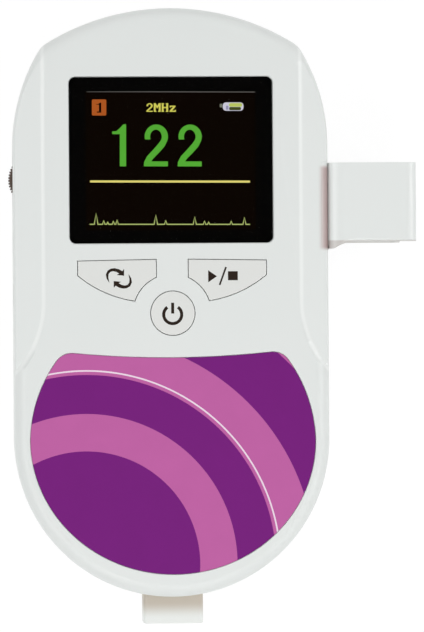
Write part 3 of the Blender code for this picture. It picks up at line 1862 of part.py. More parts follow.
def clip_profile():
    """The clip's closed profile in X and Z: front plate, wall, back plate and two lips."""
    sheet = CLIP_SHEET
    back_right_x = CLIP_RIGHT_X - CLIP_BACK_SHORTER
    right = CLIP_RIGHT_RADIUS
    left = CLIP_LEFT_RADIUS
    front_right = (CLIP_RIGHT_X - right, CLIP_TOP - right)
    front_left = (CLIP_LEFT_X + left, CLIP_TOP - left)
    back_left = (CLIP_LEFT_X + left, CLIP_BOTTOM + left)
    back_right = (back_right_x - right, CLIP_BOTTOM + right)
    points = [(CLIP_RIGHT_X, CLIP_TOP - sheet - CLIP_LIP)]
    points += clip_corner(front_right, 0, right)
    points += clip_corner(front_left, 1, left)
    points += clip_corner(back_left, 2, left)
    points += clip_corner(back_right, 3, right)
    points += [
        (back_right_x, CLIP_BOTTOM + sheet + CLIP_LIP),
        (back_right_x - CLIP_LIP_WIDTH, CLIP_BOTTOM + sheet + CLIP_LIP),
        (back_right_x - CLIP_LIP_WIDTH - CLIP_LIP, CLIP_BOTTOM + sheet),
    ]
    points += clip_corner(back_left, 2, left - sheet)[::-1]
    points += clip_corner(front_left, 1, left - sheet)[::-1]
    points += [
        (CLIP_RIGHT_X - CLIP_LIP_WIDTH - CLIP_LIP, CLIP_TOP - sheet),
        (CLIP_RIGHT_X - CLIP_LIP_WIDTH, CLIP_TOP - sheet - CLIP_LIP),
    ]
    return points


def probe_clip():
    """The clip beside the unit, with the foot, pad and bosses that fix it in its pocket."""
    clip = outline_solid("probe_clip", clip_profile(), CLIP_LOWER_Y, CLIP_UPPER_Y, "Y")
    flare = CLIP_FOOT_FLARE
    drop = CLIP_FOOT_DROP
    start_x = CLIP_LEFT_X + CLIP_FOOT_WIDTH
    radius = (flare**2 + drop**2) / (2 * drop)
    sweep = math.asin(flare / radius)
    below = CLIP_LOWER_Y - CUT_OVERRUN
    beyond = CLIP_RIGHT_X + CUT_OVERRUN
    quarter = math.pi / 2
    curve = arc(
        (start_x + flare, CLIP_LOWER_Y + drop - radius),
        radius,
        quarter + sweep,
        quarter,
        KEY_ARC_STEPS,
    )
    waist = [(start_x, below)] + curve
    waist += [(beyond, CLIP_LOWER_Y + drop), (beyond, below)]
    carve(clip, outline_solid("clip_waist", waist, 0, BODY_DEPTH + CUT_OVERRUN))
    edges = clip.modifiers.new("edges", "BEVEL")
    edges.width = CLIP_EDGE_ROUNDING
    edges.segments = 2
    edges.limit_method = "ANGLE"
    edges.angle_limit = math.radians(50)
    apply_modifiers(clip)
    pocket_floor = BODY_WIDTH / 2 - CLIP_POCKET_DEPTH
    join(
        clip,
        block(
            "clip_pad",
            (
                pocket_floor + FIT_GAP / 2,
                CLIP_LOWER_Y + CLIP_EDGE_ROUNDING,
                CLIP_BOTTOM + CLIP_LEFT_RADIUS / 2,
            ),
            (
                CLIP_LEFT_X + CLIP_SHEET / 2,
                CLIP_UPPER_Y - CLIP_EDGE_ROUNDING,
                CLIP_PAD_TOP,
            ),
        ),
    )
    inside = BODY_WIDTH / 2 - WALL
    for along in clip_boss_places():
        join(
            clip,
            rod(
                "clip_boss",
                CLIP_BOSS_RADIUS,
                (inside, along, CLIP_BOSS_HEIGHT),
                (CLIP_LEFT_X + CLIP_SHEET / 2, along, CLIP_BOSS_HEIGHT),
            ),
        )
        carve(
            clip,
            rod(
                "clip_boss_bore",
                CLIP_SCREW_SHANK_RADIUS + RUNNING_GAP,
                (inside - CUT_OVERRUN, along, CLIP_BOSS_HEIGHT),
                (inside + CLIP_SCREW_LENGTH, along, CLIP_BOSS_HEIGHT),
            ),
        )
    return finish(clip, "white_abs", WHITE_ABS, 0.38)


def clip_screws():
    """The two screws inside the back shell that hold the clip's bosses."""
    for number, along in enumerate(clip_boss_places(), 1):
        screw(
            f"clip_screw_{number}",
            (BODY_WIDTH / 2 - WALL - RUNNING_GAP, along, CLIP_BOSS_HEIGHT),
            (1, 0, 0),
            CLIP_SCREW_HEAD_RADIUS,
            CLIP_SCREW_HEAD_HEIGHT,
            CLIP_SCREW_SHANK_RADIUS,
            CLIP_SCREW_LENGTH,
        )


def build():
    """Builds every piece of the doppler."""
    front_cover()
    display_window()
    display_module()
    display_frame()
    face_label()
    keys()
    main_board()
    board_screws()
    back_cover()
    battery_door()
    battery_pack()
    contact_block()
    battery_contacts()
    housing_screws()
    volume_wheel()
    volume_pot()
    wheel_screw()
    socket("earphone_socket", EARPHONE_Y, EARPHONE_BORE_RADIUS, 0)
    socket("charge_socket", CHARGE_Y, CHARGE_BORE_RADIUS, CHARGE_PIN_RADIUS)
    speaker()
    probe_port()
    port_insert()
    port_pins()
    probe_clip()
    clip_screws()


build()
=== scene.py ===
import math

import bpy
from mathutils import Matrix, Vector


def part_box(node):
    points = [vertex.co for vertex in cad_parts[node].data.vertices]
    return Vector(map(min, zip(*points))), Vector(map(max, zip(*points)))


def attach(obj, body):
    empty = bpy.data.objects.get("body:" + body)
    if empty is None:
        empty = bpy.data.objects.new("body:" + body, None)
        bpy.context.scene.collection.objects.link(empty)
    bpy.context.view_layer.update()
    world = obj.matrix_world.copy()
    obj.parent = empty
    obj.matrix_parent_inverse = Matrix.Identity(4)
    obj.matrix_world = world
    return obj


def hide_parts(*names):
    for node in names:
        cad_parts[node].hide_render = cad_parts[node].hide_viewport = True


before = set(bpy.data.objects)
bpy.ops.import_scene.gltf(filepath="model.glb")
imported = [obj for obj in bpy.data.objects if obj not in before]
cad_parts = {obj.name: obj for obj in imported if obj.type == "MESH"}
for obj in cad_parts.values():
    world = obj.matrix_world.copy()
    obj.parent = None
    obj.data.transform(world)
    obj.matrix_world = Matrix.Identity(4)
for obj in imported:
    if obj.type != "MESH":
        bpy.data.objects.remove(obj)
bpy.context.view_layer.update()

# %% [markdown]
# # A pocket fetal doppler
# The unit is a white moulded housing with a black screen window, three keys, a printed film
# on its lower half, a thumb wheel and two sockets in its left side, a clip for the probe on
# its right side and a port at its foot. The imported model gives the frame: it is loaded above,
# and every piece made here takes its place from it. Sizes below are in millimetres, because
# that is how such a unit is drawn, and MM turns them to Blender's metres.

# %% What the frame holds
MM = 0.001

# %% [markdown]
# ## Selecting in code
# An operator works on what is selected, and the loaded model arrives selected. So each step
# first clears the selection and then picks its own objects, the first as the active one.


# %% Picking objects
def pick(*things):
    """Selects these objects and nothing else, and makes the first the active one."""
    if bpy.context.mode != "OBJECT":
        bpy.ops.object.mode_set(mode="OBJECT")
    bpy.ops.object.select_all(action="DESELECT")
    for thing in things:
        thing.select_set(True)
    bpy.context.view_layer.objects.active = things[0]


# %% [markdown]
# ## Outlines
# A moulded housing is drawn as outlines: arcs, ovals and straight lines seen from the front.
# Points on an arc are worked out by angle, so one number sets how fine a curve is. The
# housing's own outline can be drawn inset, which gives its rim and its wall.


# %% Arcs and rounded rectangles
def oval(centre, across, up, start, end, steps):
    """Points along an upright oval between two angles in degrees, both ends included."""
    points = []
    for step in range(steps + 1):
        angle = math.radians(start + (end - start) * step / steps)
        points.append((centre[0] + across * math.cos(angle), centre[1] + up * math.sin(angle)))
    return points


def arc(centre, radius, start, end, steps):
    """Points along a circle between two angles."""
    return oval(centre, radius, radius, start, end, steps)


def circle(radius, centre, sides=32):
    """A circle as an outline."""
    return arc(centre, radius, 0, 360, sides)[:-1]


def rounded_rectangle(width, height, radius, centre=(0, 0), steps=8):
    """A rectangle with round corners, anticlockwise from its upper right one."""
    points = []
    for quarter, (across, up) in enumerate(((1, 1), (-1, 1), (-1, -1), (1, -1))):
        x = centre[0] + across * (width / 2 - radius)
        y = centre[1] + up * (height / 2 - radius)
        points += arc((x, y), radius, 90 * quarter, 90 * quarter + 90, steps)
    return points


def mirrored(right_half):
    """A closed outline from its right half, which runs upwards from axis to axis."""
    return right_half + [(-x, y) for x, y in reversed(right_half[1:-1])]


def grown(points, distance):
    """An anticlockwise outline moved outwards, or inwards where the distance is negative."""
    moved = []
    for index, (x, y) in enumerate(points):
        x0, y0 = points[index - 1]
        x1, y1 = points[(index + 1) % len(points)]
        before, after = math.dist((x0, y0), (x, y)), math.dist((x, y), (x1, y1))
        ax, ay = (y - y0) / before, (x0 - x) / before
        bx, by = (y1 - y) / after, (x - x1) / after
        stretch = distance / (1 + ax * bx + ay * by)
        moved.append((x + (ax + bx) * stretch, y + (ay + by) * stretch))
    return moved


def meeting(first, first_radius, second, second_radius):
    """Where two circles meet, on the right of the way from the first centre to the second."""
    apart = math.dist(first, second)
    along = (first_radius**2 - second_radius**2 + apart**2) / (2 * apart)
    aside = math.sqrt(first_radius**2 - along**2)
    ux, uy = (second[0] - first[0]) / apart, (second[1] - first[1]) / apart
    return first[0] + ux * along + uy * aside, first[1] + uy * along - ux * aside


def bearing(start, end):
    """The direction from one point to another, in degrees."""
    return math.degrees(math.atan2(end[1] - start[1], end[0] - start[0]))


# %% The housing's outline
BODY_WIDTH = 76
FOOT = (0, -33)
SHOULDER, SHOULDER_RADIUS = (-6, 38), 44
CROWN, CROWN_RADIUS = (0, 14), 57
CROWN_CORNER = 6.5
PARTING = 15


def housing_outline(inset):
    """The housing from the front: half round foot, straight sides, shoulders and crown."""
    reaches = CROWN_RADIUS - CROWN_CORNER, SHOULDER_RADIUS - CROWN_CORNER
    corner = meeting(CROWN, reaches[0], SHOULDER, reaches[1])
    low, high = bearing(SHOULDER, corner), bearing(CROWN, corner)
    right = arc(FOOT, BODY_WIDTH / 2 - inset, -90, 0, 30)
    right += arc(SHOULDER, SHOULDER_RADIUS - inset, 0, low, 14)
    right += arc(corner, max(CROWN_CORNER - inset, 0.25), low, high, 8)[1:]
    right += arc(CROWN, CROWN_RADIUS - inset, high, 90, 14)[1:]
    return mirrored(right)


print("outline points", len(housing_outline(0)))

# %% [markdown]
# ## Solids from stacked outlines
# A moulded shell is a stack of outlines: straight up the side, then ever smaller round the rim.
# Each outline is a flat curve turned into a wire. The wires are joined, bridged from one to the
# next, and the two open ends are filled, which gives a closed solid with even, smooth strips
# round its rim. A bevel could do the same, but it pinches where a corner is as tight as the
# bevel is wide.


# %% Stacking outlines
def settled(name):
    """Applies the new object's placement to its mesh, and names it."""
    made = bpy.context.object
    bpy.ops.object.transform_apply(location=True, rotation=True, scale=True)
    made.name = made.data.name = name
    return made


def wire(points, height):
    """A closed outline as a wire at a height."""
    curve = bpy.data.curves.new("outline", "CURVE")
    curve.dimensions = "3D"
    spline = curve.splines.new("POLY")
    spline.points.add(len(points) - 1)
    for knot, (x, y) in zip(spline.points, points):
        knot.co = (x * MM, y * MM, height * MM, 1)
    spline.use_cyclic_u = True
    thing = bpy.data.objects.new("outline", curve)
    bpy.context.collection.objects.link(thing)
    pick(thing)
    bpy.ops.object.convert(target="MESH")
    return bpy.context.object


def stack(name, rings, facing="Z"):
    """A closed solid through outlines, each given with its height along the facing axis.

    Outlines are drawn in X and Y, or in X and Z for one that faces Y.
    """
    turn = -1 if facing == "Y" else 1
    wires = [wire(points, turn * height) for points, height in rings]
    pick(*wires)
    bpy.ops.object.join()
    bpy.ops.object.mode_set(mode="EDIT")
    bpy.ops.mesh.select_all(action="SELECT")
    bpy.ops.mesh.bridge_edge_loops()
    bpy.ops.mesh.select_all(action="SELECT")
    bpy.ops.mesh.fill_holes(sides=0)
    bpy.ops.mesh.select_all(action="SELECT")
    bpy.ops.mesh.normals_make_consistent(inside=False)
    bpy.ops.object.mode_set(mode="OBJECT")
    if facing == "Y":
        bpy.context.object.rotation_euler.x = math.pi / 2
    return settled(name)


def plate(name, points, low, high, facing="Z"):
    """An outline with a plain thickness."""
    return stack(name, [(points, low), (points, high)], facing)


def rounding(radius, steps):
    """Steps round an edge: how far each lies inwards, and how far below the top."""
    for step in range(steps + 1):
        angle = math.radians(90 * step / steps)
        yield radius * (1 - math.cos(angle)), radius * (1 - math.sin(angle))


def eased_plate(name, points, low, high, ease, steps=4):
    """An outline with a thickness, its upper edge rounded."""
    rings = [(points, low)]
    rings += [(grown(points, -inset), high - below) for inset, below in rounding(ease, steps)]
    return stack(name, rings)


def opening(points, low, surface, ease):
    """A cutter for an opening whose edge is eased where it meets a surface above it."""
    return stack(
        "opening",
        [
            (points, low),
            (points, surface - ease),
            (grown(points, ease * 0.35), surface - ease * 0.3),
            (grown(points, ease * 1.3), surface + ease * 0.3),
            (grown(points, ease * 1.3), surface + 1),
        ],
    )


# %% [markdown]
# ## Boxes, rods and Booleans
# Openings, bosses and wells are cut and joined with Boolean modifiers, applied one after
# another as a moulder's tool is cut. The tool object is deleted once it has done its work. All
# the solids here are closed, so the manifold solver can be used, which is quick and sure.


# %% Boxes, rods and cuts
def box(name, low, high):
    """A box between two opposite corners."""
    middle = [(a + b) / 2 * MM for a, b in zip(low, high)]
    bpy.ops.object.select_all(action="DESELECT")
    bpy.ops.mesh.primitive_cube_add(size=1, location=middle)
    bpy.context.object.scale = [(b - a) * MM for a, b in zip(low, high)]
    return settled(name)


def rod(name, radius, start, end, sides=48):
    """A round rod along one of the axes, between two points."""
    middle = [(a + b) / 2 * MM for a, b in zip(start, end)]
    along = [abs(b - a) for a, b in zip(start, end)]
    turn = {0: (0, math.pi / 2, 0), 1: (math.pi / 2, 0, 0), 2: (0, 0, 0)}
    bpy.ops.object.select_all(action="DESELECT")
    bpy.ops.mesh.primitive_cylinder_add(
        vertices=sides,
        radius=radius * MM,
        depth=max(along) * MM,
        location=middle,
        rotation=turn[along.index(max(along))],
    )
    return settled(name)


def boolean(target, tool, operation="DIFFERENCE"):
    """Runs a Boolean on the target, keeps its result and deletes the tool."""
    pick(target)
    step = target.modifiers.new("cut", "BOOLEAN")
    step.operation = operation
    step.solver = "MANIFOLD"
    step.object = tool
    bpy.ops.object.modifier_apply(modifier=step.name)
    bpy.data.objects.remove(tool)
    return target


def smooth(piece, angle=34):
    """Shades round faces smooth, and lets the large flat faces keep their own direction."""
    pick(piece)
    bpy.ops.object.mode_set(mode="EDIT")
    bpy.ops.mesh.select_all(action="SELECT")
    bpy.ops.mesh.remove_doubles(threshold=0.002 * MM)
    bpy.ops.object.mode_set(mode="OBJECT")
    bpy.ops.object.shade_smooth_by_angle(angle=math.radians(angle))
    weigh = piece.modifiers.new("weighted", "WEIGHTED_NORMAL")
    weigh.keep_sharp = True
    weigh.weight = 100
    bpy.ops.object.modifier_apply(modifier=weigh.name)
    return piece


def soften(piece, width, segments=3, angle=40):
    """Rounds the edges that are sharper than an angle."""
    pick(piece)
    bevel = piece.modifiers.new("edges", "BEVEL")
    bevel.width = width * MM
    bevel.segments = segments
    bevel.limit_method = "ANGLE"
    bevel.angle_limit = math.radians(angle)
    bpy.ops.object.modifier_apply(modifier=bevel.name)
    return piece


def fit(piece, body, slot, material, *nodes):
    """Puts a finished piece on its body and in its material; the slot it is given is not used.
    """
    piece.data.materials.clear()
    piece.data.materials.append(material)
    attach(piece, body)
    if nodes:
        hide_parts(*nodes)
    print(piece.name, len(piece.data.polygons), "faces on", body)
    return piece


# %% [markdown]
# ## Adding shader nodes
# Materials are built from nodes. One helper adds a node, sets its properties and sockets, and
# links what feeds it. Colours are written as the hex values that a designer would give, and
# turned to the linear values that the renderer works in. No surface is quite even, so nearly
# every material has a pattern that changes its colour, its gloss or its relief a little.


# %% Nodes and colours
def linear(hex_colour):
    """An sRGB hex colour as linear red, green, blue and alpha."""
    channels = [int(hex_colour[place : place + 2], 16) / 255 for place in (1, 3, 5)]
    return [
        c / 12.92 if c <= 0.04045 else ((c + 0.055) / 1.055) ** 2.4 for c in channels
    ] + [1.0]


def add_node(material, kind, settings=(), links=()):
    """Adds a shader node with its settings, and links its inputs to other nodes' outputs."""
    tree = material.node_tree
    made = tree.nodes.new(kind)
    for key, value in dict(settings).items():
        if isinstance(key, str) and hasattr(made, key):
            setattr(made, key, value)
        else:
            made.inputs[key].default_value = value
    for key, source in dict(links).items():
        tree.links.new(source, made.inputs[key])
    return made


def new_material(name, colour, roughness, settings=()):
    """A material with a Principled shader in a plain colour, and its Object coordinates."""
    material = bpy.data.materials.new(name)
    material.use_nodes = True
    shader = material.node_tree.nodes["Principled BSDF"]
    shader.inputs["Base Color"].default_value = linear(colour)
    shader.inputs["Roughness"].default_value = roughness
    for key, value in dict(settings).items():
        shader.inputs[key].default_value = value
    place = add_node(material, "ShaderNodeTexCoord").outputs["Object"]
    return material, shader, place


def link(material, source, shader, socket):
    """Feeds a shader's socket from a node's output."""
    material.node_tree.links.new(source, shader.inputs[socket])


def per_metre(size):
    """The scale of a texture whose features are this many millimetres across."""
    return 1 / (size * MM)


# %% Patterns on a surface
def patterned(material, shader, pattern, colours=(), gloss=(), depth=0.0, strength=0.6):
    """Lets a pattern change a shader's colour, its roughness and its relief.

    Colours and gloss are two values each, for where the pattern is 0 and where it is 1.
    """
    if colours:
        tone = add_node(
            material,
            "ShaderNodeMix",
            {"data_type": "RGBA", 6: linear(colours[0]), 7: linear(colours[1])},
            {0: pattern},
        )
        link(material, tone.outputs[2], shader, "Base Color")
    if gloss:
        dull = add_node(
            material,
            "ShaderNodeMapRange",
            {"To Min": gloss[0], "To Max": gloss[1]},
            {"Value": pattern},
        )
        link(material, dull.outputs["Result"], shader, "Roughness")
    if depth:
        relief = add_node(
            material,
            "ShaderNodeBump",
            {"Strength": strength, "Distance": depth * MM},
            {"Height": pattern},
        )
        link(material, relief.outputs["Normal"], shader, "Normal")


def two_tone(name, colour, other, roughness, grain, depth=0.0, settings=(), gloss=()):
    """A material that changes between two near colours over a grain."""
    material, shader, place = new_material(name, colour, roughness, settings)
    grains = add_node(
        material,
        "ShaderNodeTexNoise",
        {"Scale": per_metre(grain), "Detail": 4},
        {"Vector": place},
    )
    patterned(material, shader, grains.outputs["Fac"], (colour, other), gloss, depth)
    return material


# %% [markdown]
# ## Moulded ABS
# The housing is injection-moulded ABS from a mould with a spark-eroded finish: a fine, even
# pebble that takes the gloss off. The grain is about 0.05 mm on the real part. It is drawn at
# 0.4 to 0.5 mm here, as anything finer is lost between two pixels. Under it lies a very faint
# cloudiness, as the resin's colour is never quite even, and the roughness follows the grain.
# Painted light is laid over the ABS's colour with soft masks: a painted highlight along the
# crease beside each grip, and painted shade in the groove beside the clip, on the clip's foot
# and lower edge, and at the port's root.


# %% ABS, spark-eroded
def moulded_abs(name, colour, cloud_colour, roughness, shine=0.6, grain=0.4, depth=0.006):
    """Injection-moulded ABS with a spark-eroded grain."""
    material, shader, place = new_material(
        name, colour, roughness, {"IOR": 1.53, "Specular IOR Level": shine}
    )
    cloud = add_node(
        material,
        "ShaderNodeTexNoise",
        {"Scale": per_metre(22), "Detail": 2, "Roughness": 0.4},
        {"Vector": place},
    )
    patterned(material, shader, cloud.outputs["Fac"], (colour, cloud_colour))
    pebble = add_node(
        material,
        "ShaderNodeTexNoise",
        {"Scale": per_metre(grain), "Detail": 3, "Roughness": 0.55},
        {"Vector": place},
    )
    gloss = (roughness - 0.06, roughness + 0.08)
    patterned(material, shader, pebble.outputs["Fac"], (), gloss, depth, 0.5)
    return material


def banded(material, axis, start, end):
    """A mask that rises smoothly from 0 to 1 between two places along an axis."""
    place = add_node(material, "ShaderNodeTexCoord").outputs["Object"]
    parts = add_node(material, "ShaderNodeSeparateXYZ", {}, {"Vector": place})
    return add_node(
        material,
        "ShaderNodeMapRange",
        {"interpolation_type": "SMOOTHSTEP", "From Min": start * MM, "From Max": end * MM},
        {"Value": parts.outputs[axis]},
    ).outputs["Result"]


def overlaid(material, colour, *masks):
    """Lays a colour over a material's own, where all the masks are 1."""
    shader = material.node_tree.nodes["Principled BSDF"]
    own = shader.inputs["Base Color"].links[0].from_socket
    share = masks[0]
    for mask in masks[1:]:
        share = add_node(
            material, "ShaderNodeMath", {"operation": "MULTIPLY"}, {0: share, 1: mask}
        ).outputs[0]
    over = add_node(
        material, "ShaderNodeMix", {"data_type": "RGBA", 7: linear(colour)}, {0: share, 6: own}
    )
    link(material, over.outputs[2], shader, "Base Color")
    return material


housing_abs = moulded_abs("abs_spark_eroded_white", "#E7EAE8", "#E4E8E6", 0.40)
front_abs = moulded_abs("abs_spark_eroded_white_painted_light", "#E7EAE8", "#E4E8E6", 0.40)
# Painted shade: a darker mauve band on the cover's rim beside the clip, where the clip shades
# it.
painted_shade_beside_clip = banded(front_abs, "X", 35.3, 37.25)
clip_foot, clip_head = banded(front_abs, "Y", 12.1, 13.3), banded(front_abs, "Y", 33.2, 32.0)
overlaid(front_abs, "#B9A4A2", painted_shade_beside_clip, clip_foot, clip_head)
CREASE_TILT_X, BEND_Y, BEND_RADIUS = 30.5, 0.5, 25.3
RIGHT, LEFT = 1, -1
CREASES = {RIGHT: 30.8, LEFT: 30.4}
GRIP_STEP, GRIP_SLOPE, CREASE_WIDTH, SHINE_CORE, SHINE_END = 0.3, 0.18, 0.9, 0.1, 0.75


def crease_highlight_mask(material, side):
    """A mask for the painted highlight, 1 along a crease: on its bend's circle, and straight on
    above the bend.
    """
    pivot = (side * (CREASES[side] + BEND_RADIUS) * MM, BEND_Y * MM, 0)
    place = add_node(material, "ShaderNodeTexCoord").outputs["Object"]
    parts = add_node(material, "ShaderNodeSeparateXYZ", {}, {"Vector": place})
    low = add_node(
        material,
        "ShaderNodeMath",
        {"operation": "MINIMUM", 1: BEND_Y * MM},
        {0: parts.outputs["Y"]},
    )
    bent = add_node(
        material, "ShaderNodeCombineXYZ", {}, {"X": parts.outputs["X"], "Y": low.outputs[0]}
    )
    reach = add_node(
        material,
        "ShaderNodeVectorMath",
        {"operation": "DISTANCE", 1: pivot},
        {0: bent.outputs["Vector"]},
    )
    offset = add_node(
        material,
        "ShaderNodeMath",
        {"operation": "SUBTRACT", 1: (BEND_RADIUS - CREASE_WIDTH / 2) * MM},
        {0: reach.outputs["Value"]},
    )
    apart = add_node(
        material, "ShaderNodeMath", {"operation": "ABSOLUTE"}, {0: offset.outputs[0]}
    )
    return add_node(
        material,
        "ShaderNodeMapRange",
        {
            "interpolation_type": "SMOOTHSTEP",
            "From Min": SHINE_END * MM,
            "From Max": SHINE_CORE * MM,
        },
        {"Value": apart.outputs[0]},
    ).outputs["Result"]


# Painted highlight: a lighter line along each crease, in place of the light its rounded step
# catches.
for side in (RIGHT, LEFT):
    near_face = banded(front_abs, "Z", 26.2, 27.4)
    overlaid(front_abs, "#F1F4F2", crease_highlight_mask(front_abs, side), near_face)
clip_abs = moulded_abs("abs_satin_white", "#E9ECEA", "#E6EAE8", 0.3, 0.85, 0.4, 0.003)
# Painted shade: a warm grey-brown where the clip's foot flares out of its wall and faces away
# from the light.
root, foot = banded(clip_abs, "X", 42.5, 40.5), banded(clip_abs, "Y", 15.0, 13.4)
overlaid(clip_abs, "#B9A49C", root, foot)
# Painted shade: a grey band along the clip's lower edge, which faces down.
overlaid(clip_abs, "#C9C5C1", banded(clip_abs, "Y", 14.95, 14.45))
port_abs = moulded_abs("abs_satin_port_white", "#F0F2EF", "#ECEFEC", 0.40)
# Painted shade and light: the port is painted whiter than the housing, and darker and warmer
# towards its root, where the housing above it shades it.
overlaid(port_abs, "#C6BCAE", banded(port_abs, "Y", -76.8, -72.6))
key_abs = moulded_abs("abs_polished_key_white", "#E4E5E2", "#E2E4E1", 0.36, 0.6, 0.5, 0.003)

# %% [markdown]
# ## The front cover
# Seen from the front it is a flat face with a soft rim. Both sides slope away from a crease
# into grips, which end where the crease bends out to the edge. The rim is a stack of ever
# smaller outlines. A grip is one cutter a side. Its foot is drawn in, which gives the crease
# its soft step, and its underside is tilted about the crease.

# %% The cover's form with its rim
FRONT_BASE, FRONT_TOP, FRONT_RIM, WALL = 15.15, 29, 3.2, 2.2


def rim(inset, height, radius, turn, steps=8):
    """Outlines round a rim, from the side to the flat at this height."""
    return [
        (housing_outline(inset + inwards), height - turn * below)
        for inwards, below in rounding(radius, steps)
    ]


shell = [(housing_outline(0), FRONT_BASE)] + rim(0, FRONT_TOP, FRONT_RIM, 1)
front = stack("front_shell", shell)
print("front cover", len(front.data.polygons))

# %% The sloping grips
def grip_cutter(side):
    """What lies above a grip, outside the crease."""
    reach = BODY_WIDTH / 2 + 2.5
    crease = CREASES[side]
    pivot = (crease + BEND_RADIUS, BEND_Y)
    sweep = math.degrees(math.acos((pivot[0] - reach) / BEND_RADIUS))
    points = [(crease, 74)] + arc(pivot, BEND_RADIUS, 180, 180 + sweep, 20)
    points += [(reach, 74)]
    if side == LEFT:
        points = [(-x, y) for x, y in reversed(points)]
    cutter = stack(
        "grip_cutter",
        [
            (grown(points, -CREASE_WIDTH), FRONT_TOP - GRIP_STEP),
            (grown(points, CREASE_WIDTH), FRONT_TOP + GRIP_STEP),
            (grown(points, CREASE_WIDTH), FRONT_TOP + 2),
        ],
    )
    pick(cutter)
    bpy.ops.object.mode_set(mode="EDIT")
    bpy.ops.mesh.select_all(action="DESELECT")
    bpy.ops.object.mode_set(mode="OBJECT")
    for knot in cutter.data.vertices:
        knot.select = knot.co.z < (FRONT_TOP - GRIP_STEP / 2) * MM
    bpy.ops.object.mode_set(mode="EDIT")
    bpy.ops.transform.rotate(
        value=-side * math.atan(GRIP_SLOPE),
        orient_axis="Y",
        center_override=(side * CREASE_TILT_X * MM, 0, (FRONT_TOP - GRIP_STEP) * MM),
    )
    bpy.ops.object.mode_set(mode="OBJECT")
    lowest = min(knot.co.z for knot in cutter.data.vertices) / MM
    print("grip's outer edge at", round(lowest, 2))
    return cutter


for side in (RIGHT, LEFT):
    boolean(front, grip_cutter(side))

# %% [markdown]
# The cover is a shell, so its inside is cut out, and a lip stands under its edge to register
# with the back cover. Then the openings follow. Each has its edge eased by about a tenth of a
# millimetre, as a mould never gives a knife edge, and that catches a thin line of light.

# %% Lip, inside and openings
LIP_INSET, LIP_LOW = 1.25, 13.5
boolean(front, plate("lip", housing_outline(LIP_INSET), LIP_LOW, FRONT_BASE + WALL), "UNION")
hollow = [(housing_outline(WALL), LIP_LOW - 1)] + rim(WALL, FRONT_TOP - WALL, 1, 1, 4)
boolean(front, stack("inside", hollow))

WINDOW, WINDOW_SEAT, WINDOW_RECESS = (0, 34.3), 27.7, (49.2, 40.2, 1.6)
VIEW = ((-21.4, 16.7, 25), (21.4, 51.9, 30))
boolean(front, opening(rounded_rectangle(*WINDOW_RECESS, WINDOW), WINDOW_SEAT, FRONT_TOP, 0.15))
boolean(front, box("view", *VIEW))


# %% The film's outline and the keys' outlines
def film_outline():
    """The printed film: a disc flattened at its foot, its top cut by a shallow dip."""
    disc, radius, round_radius = (0, -34), 34.35, 4.5
    dip = 235
    above = (0, -13.3 + dip)
    flat_below, flatness, lean_below, lean = -33, 0.9435, -25, 0.0075
    corner = meeting(disc, radius - round_radius, above, dip + round_radius)
    side = bearing(disc, corner)
    foot = arc(disc, radius, -90, 0, 32)
    right = [(x, flat_below + (y - disc[1]) * flatness) for x, y in foot]
    right += arc(disc, radius, 3, side, 13)
    right += arc(corner, round_radius, side, bearing(corner, above), 8)[1:]
    right += arc(above, dip, bearing(above, corner), -90, 12)[1:]
    return [(x + max(lean_below - y, 0) * lean, y) for x, y in mirrored(right)]


KEY_HUB, POWER_KEY, POWER_RADIUS = (0, -2.6), (0.15, -2.6), 5.47


def side_key_outline(side):
    """A side key: straight on top, hollow round the power key, bellied below."""
    hollow, belly_radius, tip_x, outer_top, inner_top = 9.3, 27.5, 8.86, 10.2, 10.5
    inner, outer = (3.8, (22.92, 6.5)) if side == RIGHT else (3.62, (22.8, 6.5))
    root = (inner, KEY_HUB[1] + math.sqrt(hollow**2 - inner**2))
    tip = (tip_x, KEY_HUB[1] + math.sqrt(hollow**2 - tip_x**2))
    belly = meeting(outer, belly_radius, tip, belly_radius)
    points = [(outer[0], outer_top), (inner, inner_top)]
    points += arc(KEY_HUB, hollow, bearing(KEY_HUB, root), bearing(KEY_HUB, tip), 14)
    points += arc(belly, belly_radius, bearing(belly, tip), bearing(belly, outer), 14)[1:]
    return points if side == RIGHT else [(-x, y) for x, y in reversed(points)]


KEY_OUTLINES = {
    "mode_key": side_key_outline(LEFT),
    "play_key": side_key_outline(RIGHT),
    "power_key": circle(POWER_RADIUS, POWER_KEY, 64),
}

# %% Openings for film and keys
FILM_TOP, FILM_THICKNESS = 28.95, 0.35
film_bed = FILM_TOP - FILM_THICKNESS - 0.1
boolean(front, opening(grown(film_outline(), 0.1), film_bed, FRONT_TOP, 0.12))
for outline in KEY_OUTLINES.values():
    boolean(front, opening(grown(outline, -0.04), 25, FRONT_TOP, 0.06))
print("front cover with openings", len(front.data.polygons))

# %% [markdown]
# Wheel, sockets and port pass through the walls of both covers, so one set of cutters serves
# both, made afresh each time it is asked for. Beside the clip the front cover's rim is
# scooped out in a round roll, so that the clip's root stands in a groove.

# %% Openings that both covers share
WHEEL_CENTRE, WHEEL_RADIUS, WHEEL_THICKNESS = (-32.65, 30.05, 14.7), 6.4, 2.6
EARPHONE_Y, CHARGE_Y, SOCKET_HOLE, HOLE_PLAY = 14.5, 2.0, 2.9, 0.5
PORT_WIDTH, PORT_HEIGHT, PORT_MOUTH, PORT_SHIFT = 14.7, 9.2, -77.9, 0.25
CLIP_LOW_Y, CLIP_HIGH_Y = 12.8, 33.5


def side_cutters():
    """Cutters for the wheel's slot, the sockets' holes and the port's hole."""
    x, y, z = WHEEL_CENTRE
    half, reach = WHEEL_THICKNESS / 2 + HOLE_PLAY, WHEEL_RADIUS + HOLE_PLAY
    yield box("wheel_slot", (-40, y - reach, z - half), (x, y + reach, z + half))
    for along in (EARPHONE_Y, CHARGE_Y):
        yield rod("socket_hole", SOCKET_HOLE, (-40, along, PARTING), (-33.6, along, PARTING))
    hole = rounded_rectangle(PORT_WIDTH + 0.6, PORT_HEIGHT + 0.6, 1.3, (0, PARTING))
    yield plate("port_hole", hole, PORT_MOUTH, -64.4, "Y")


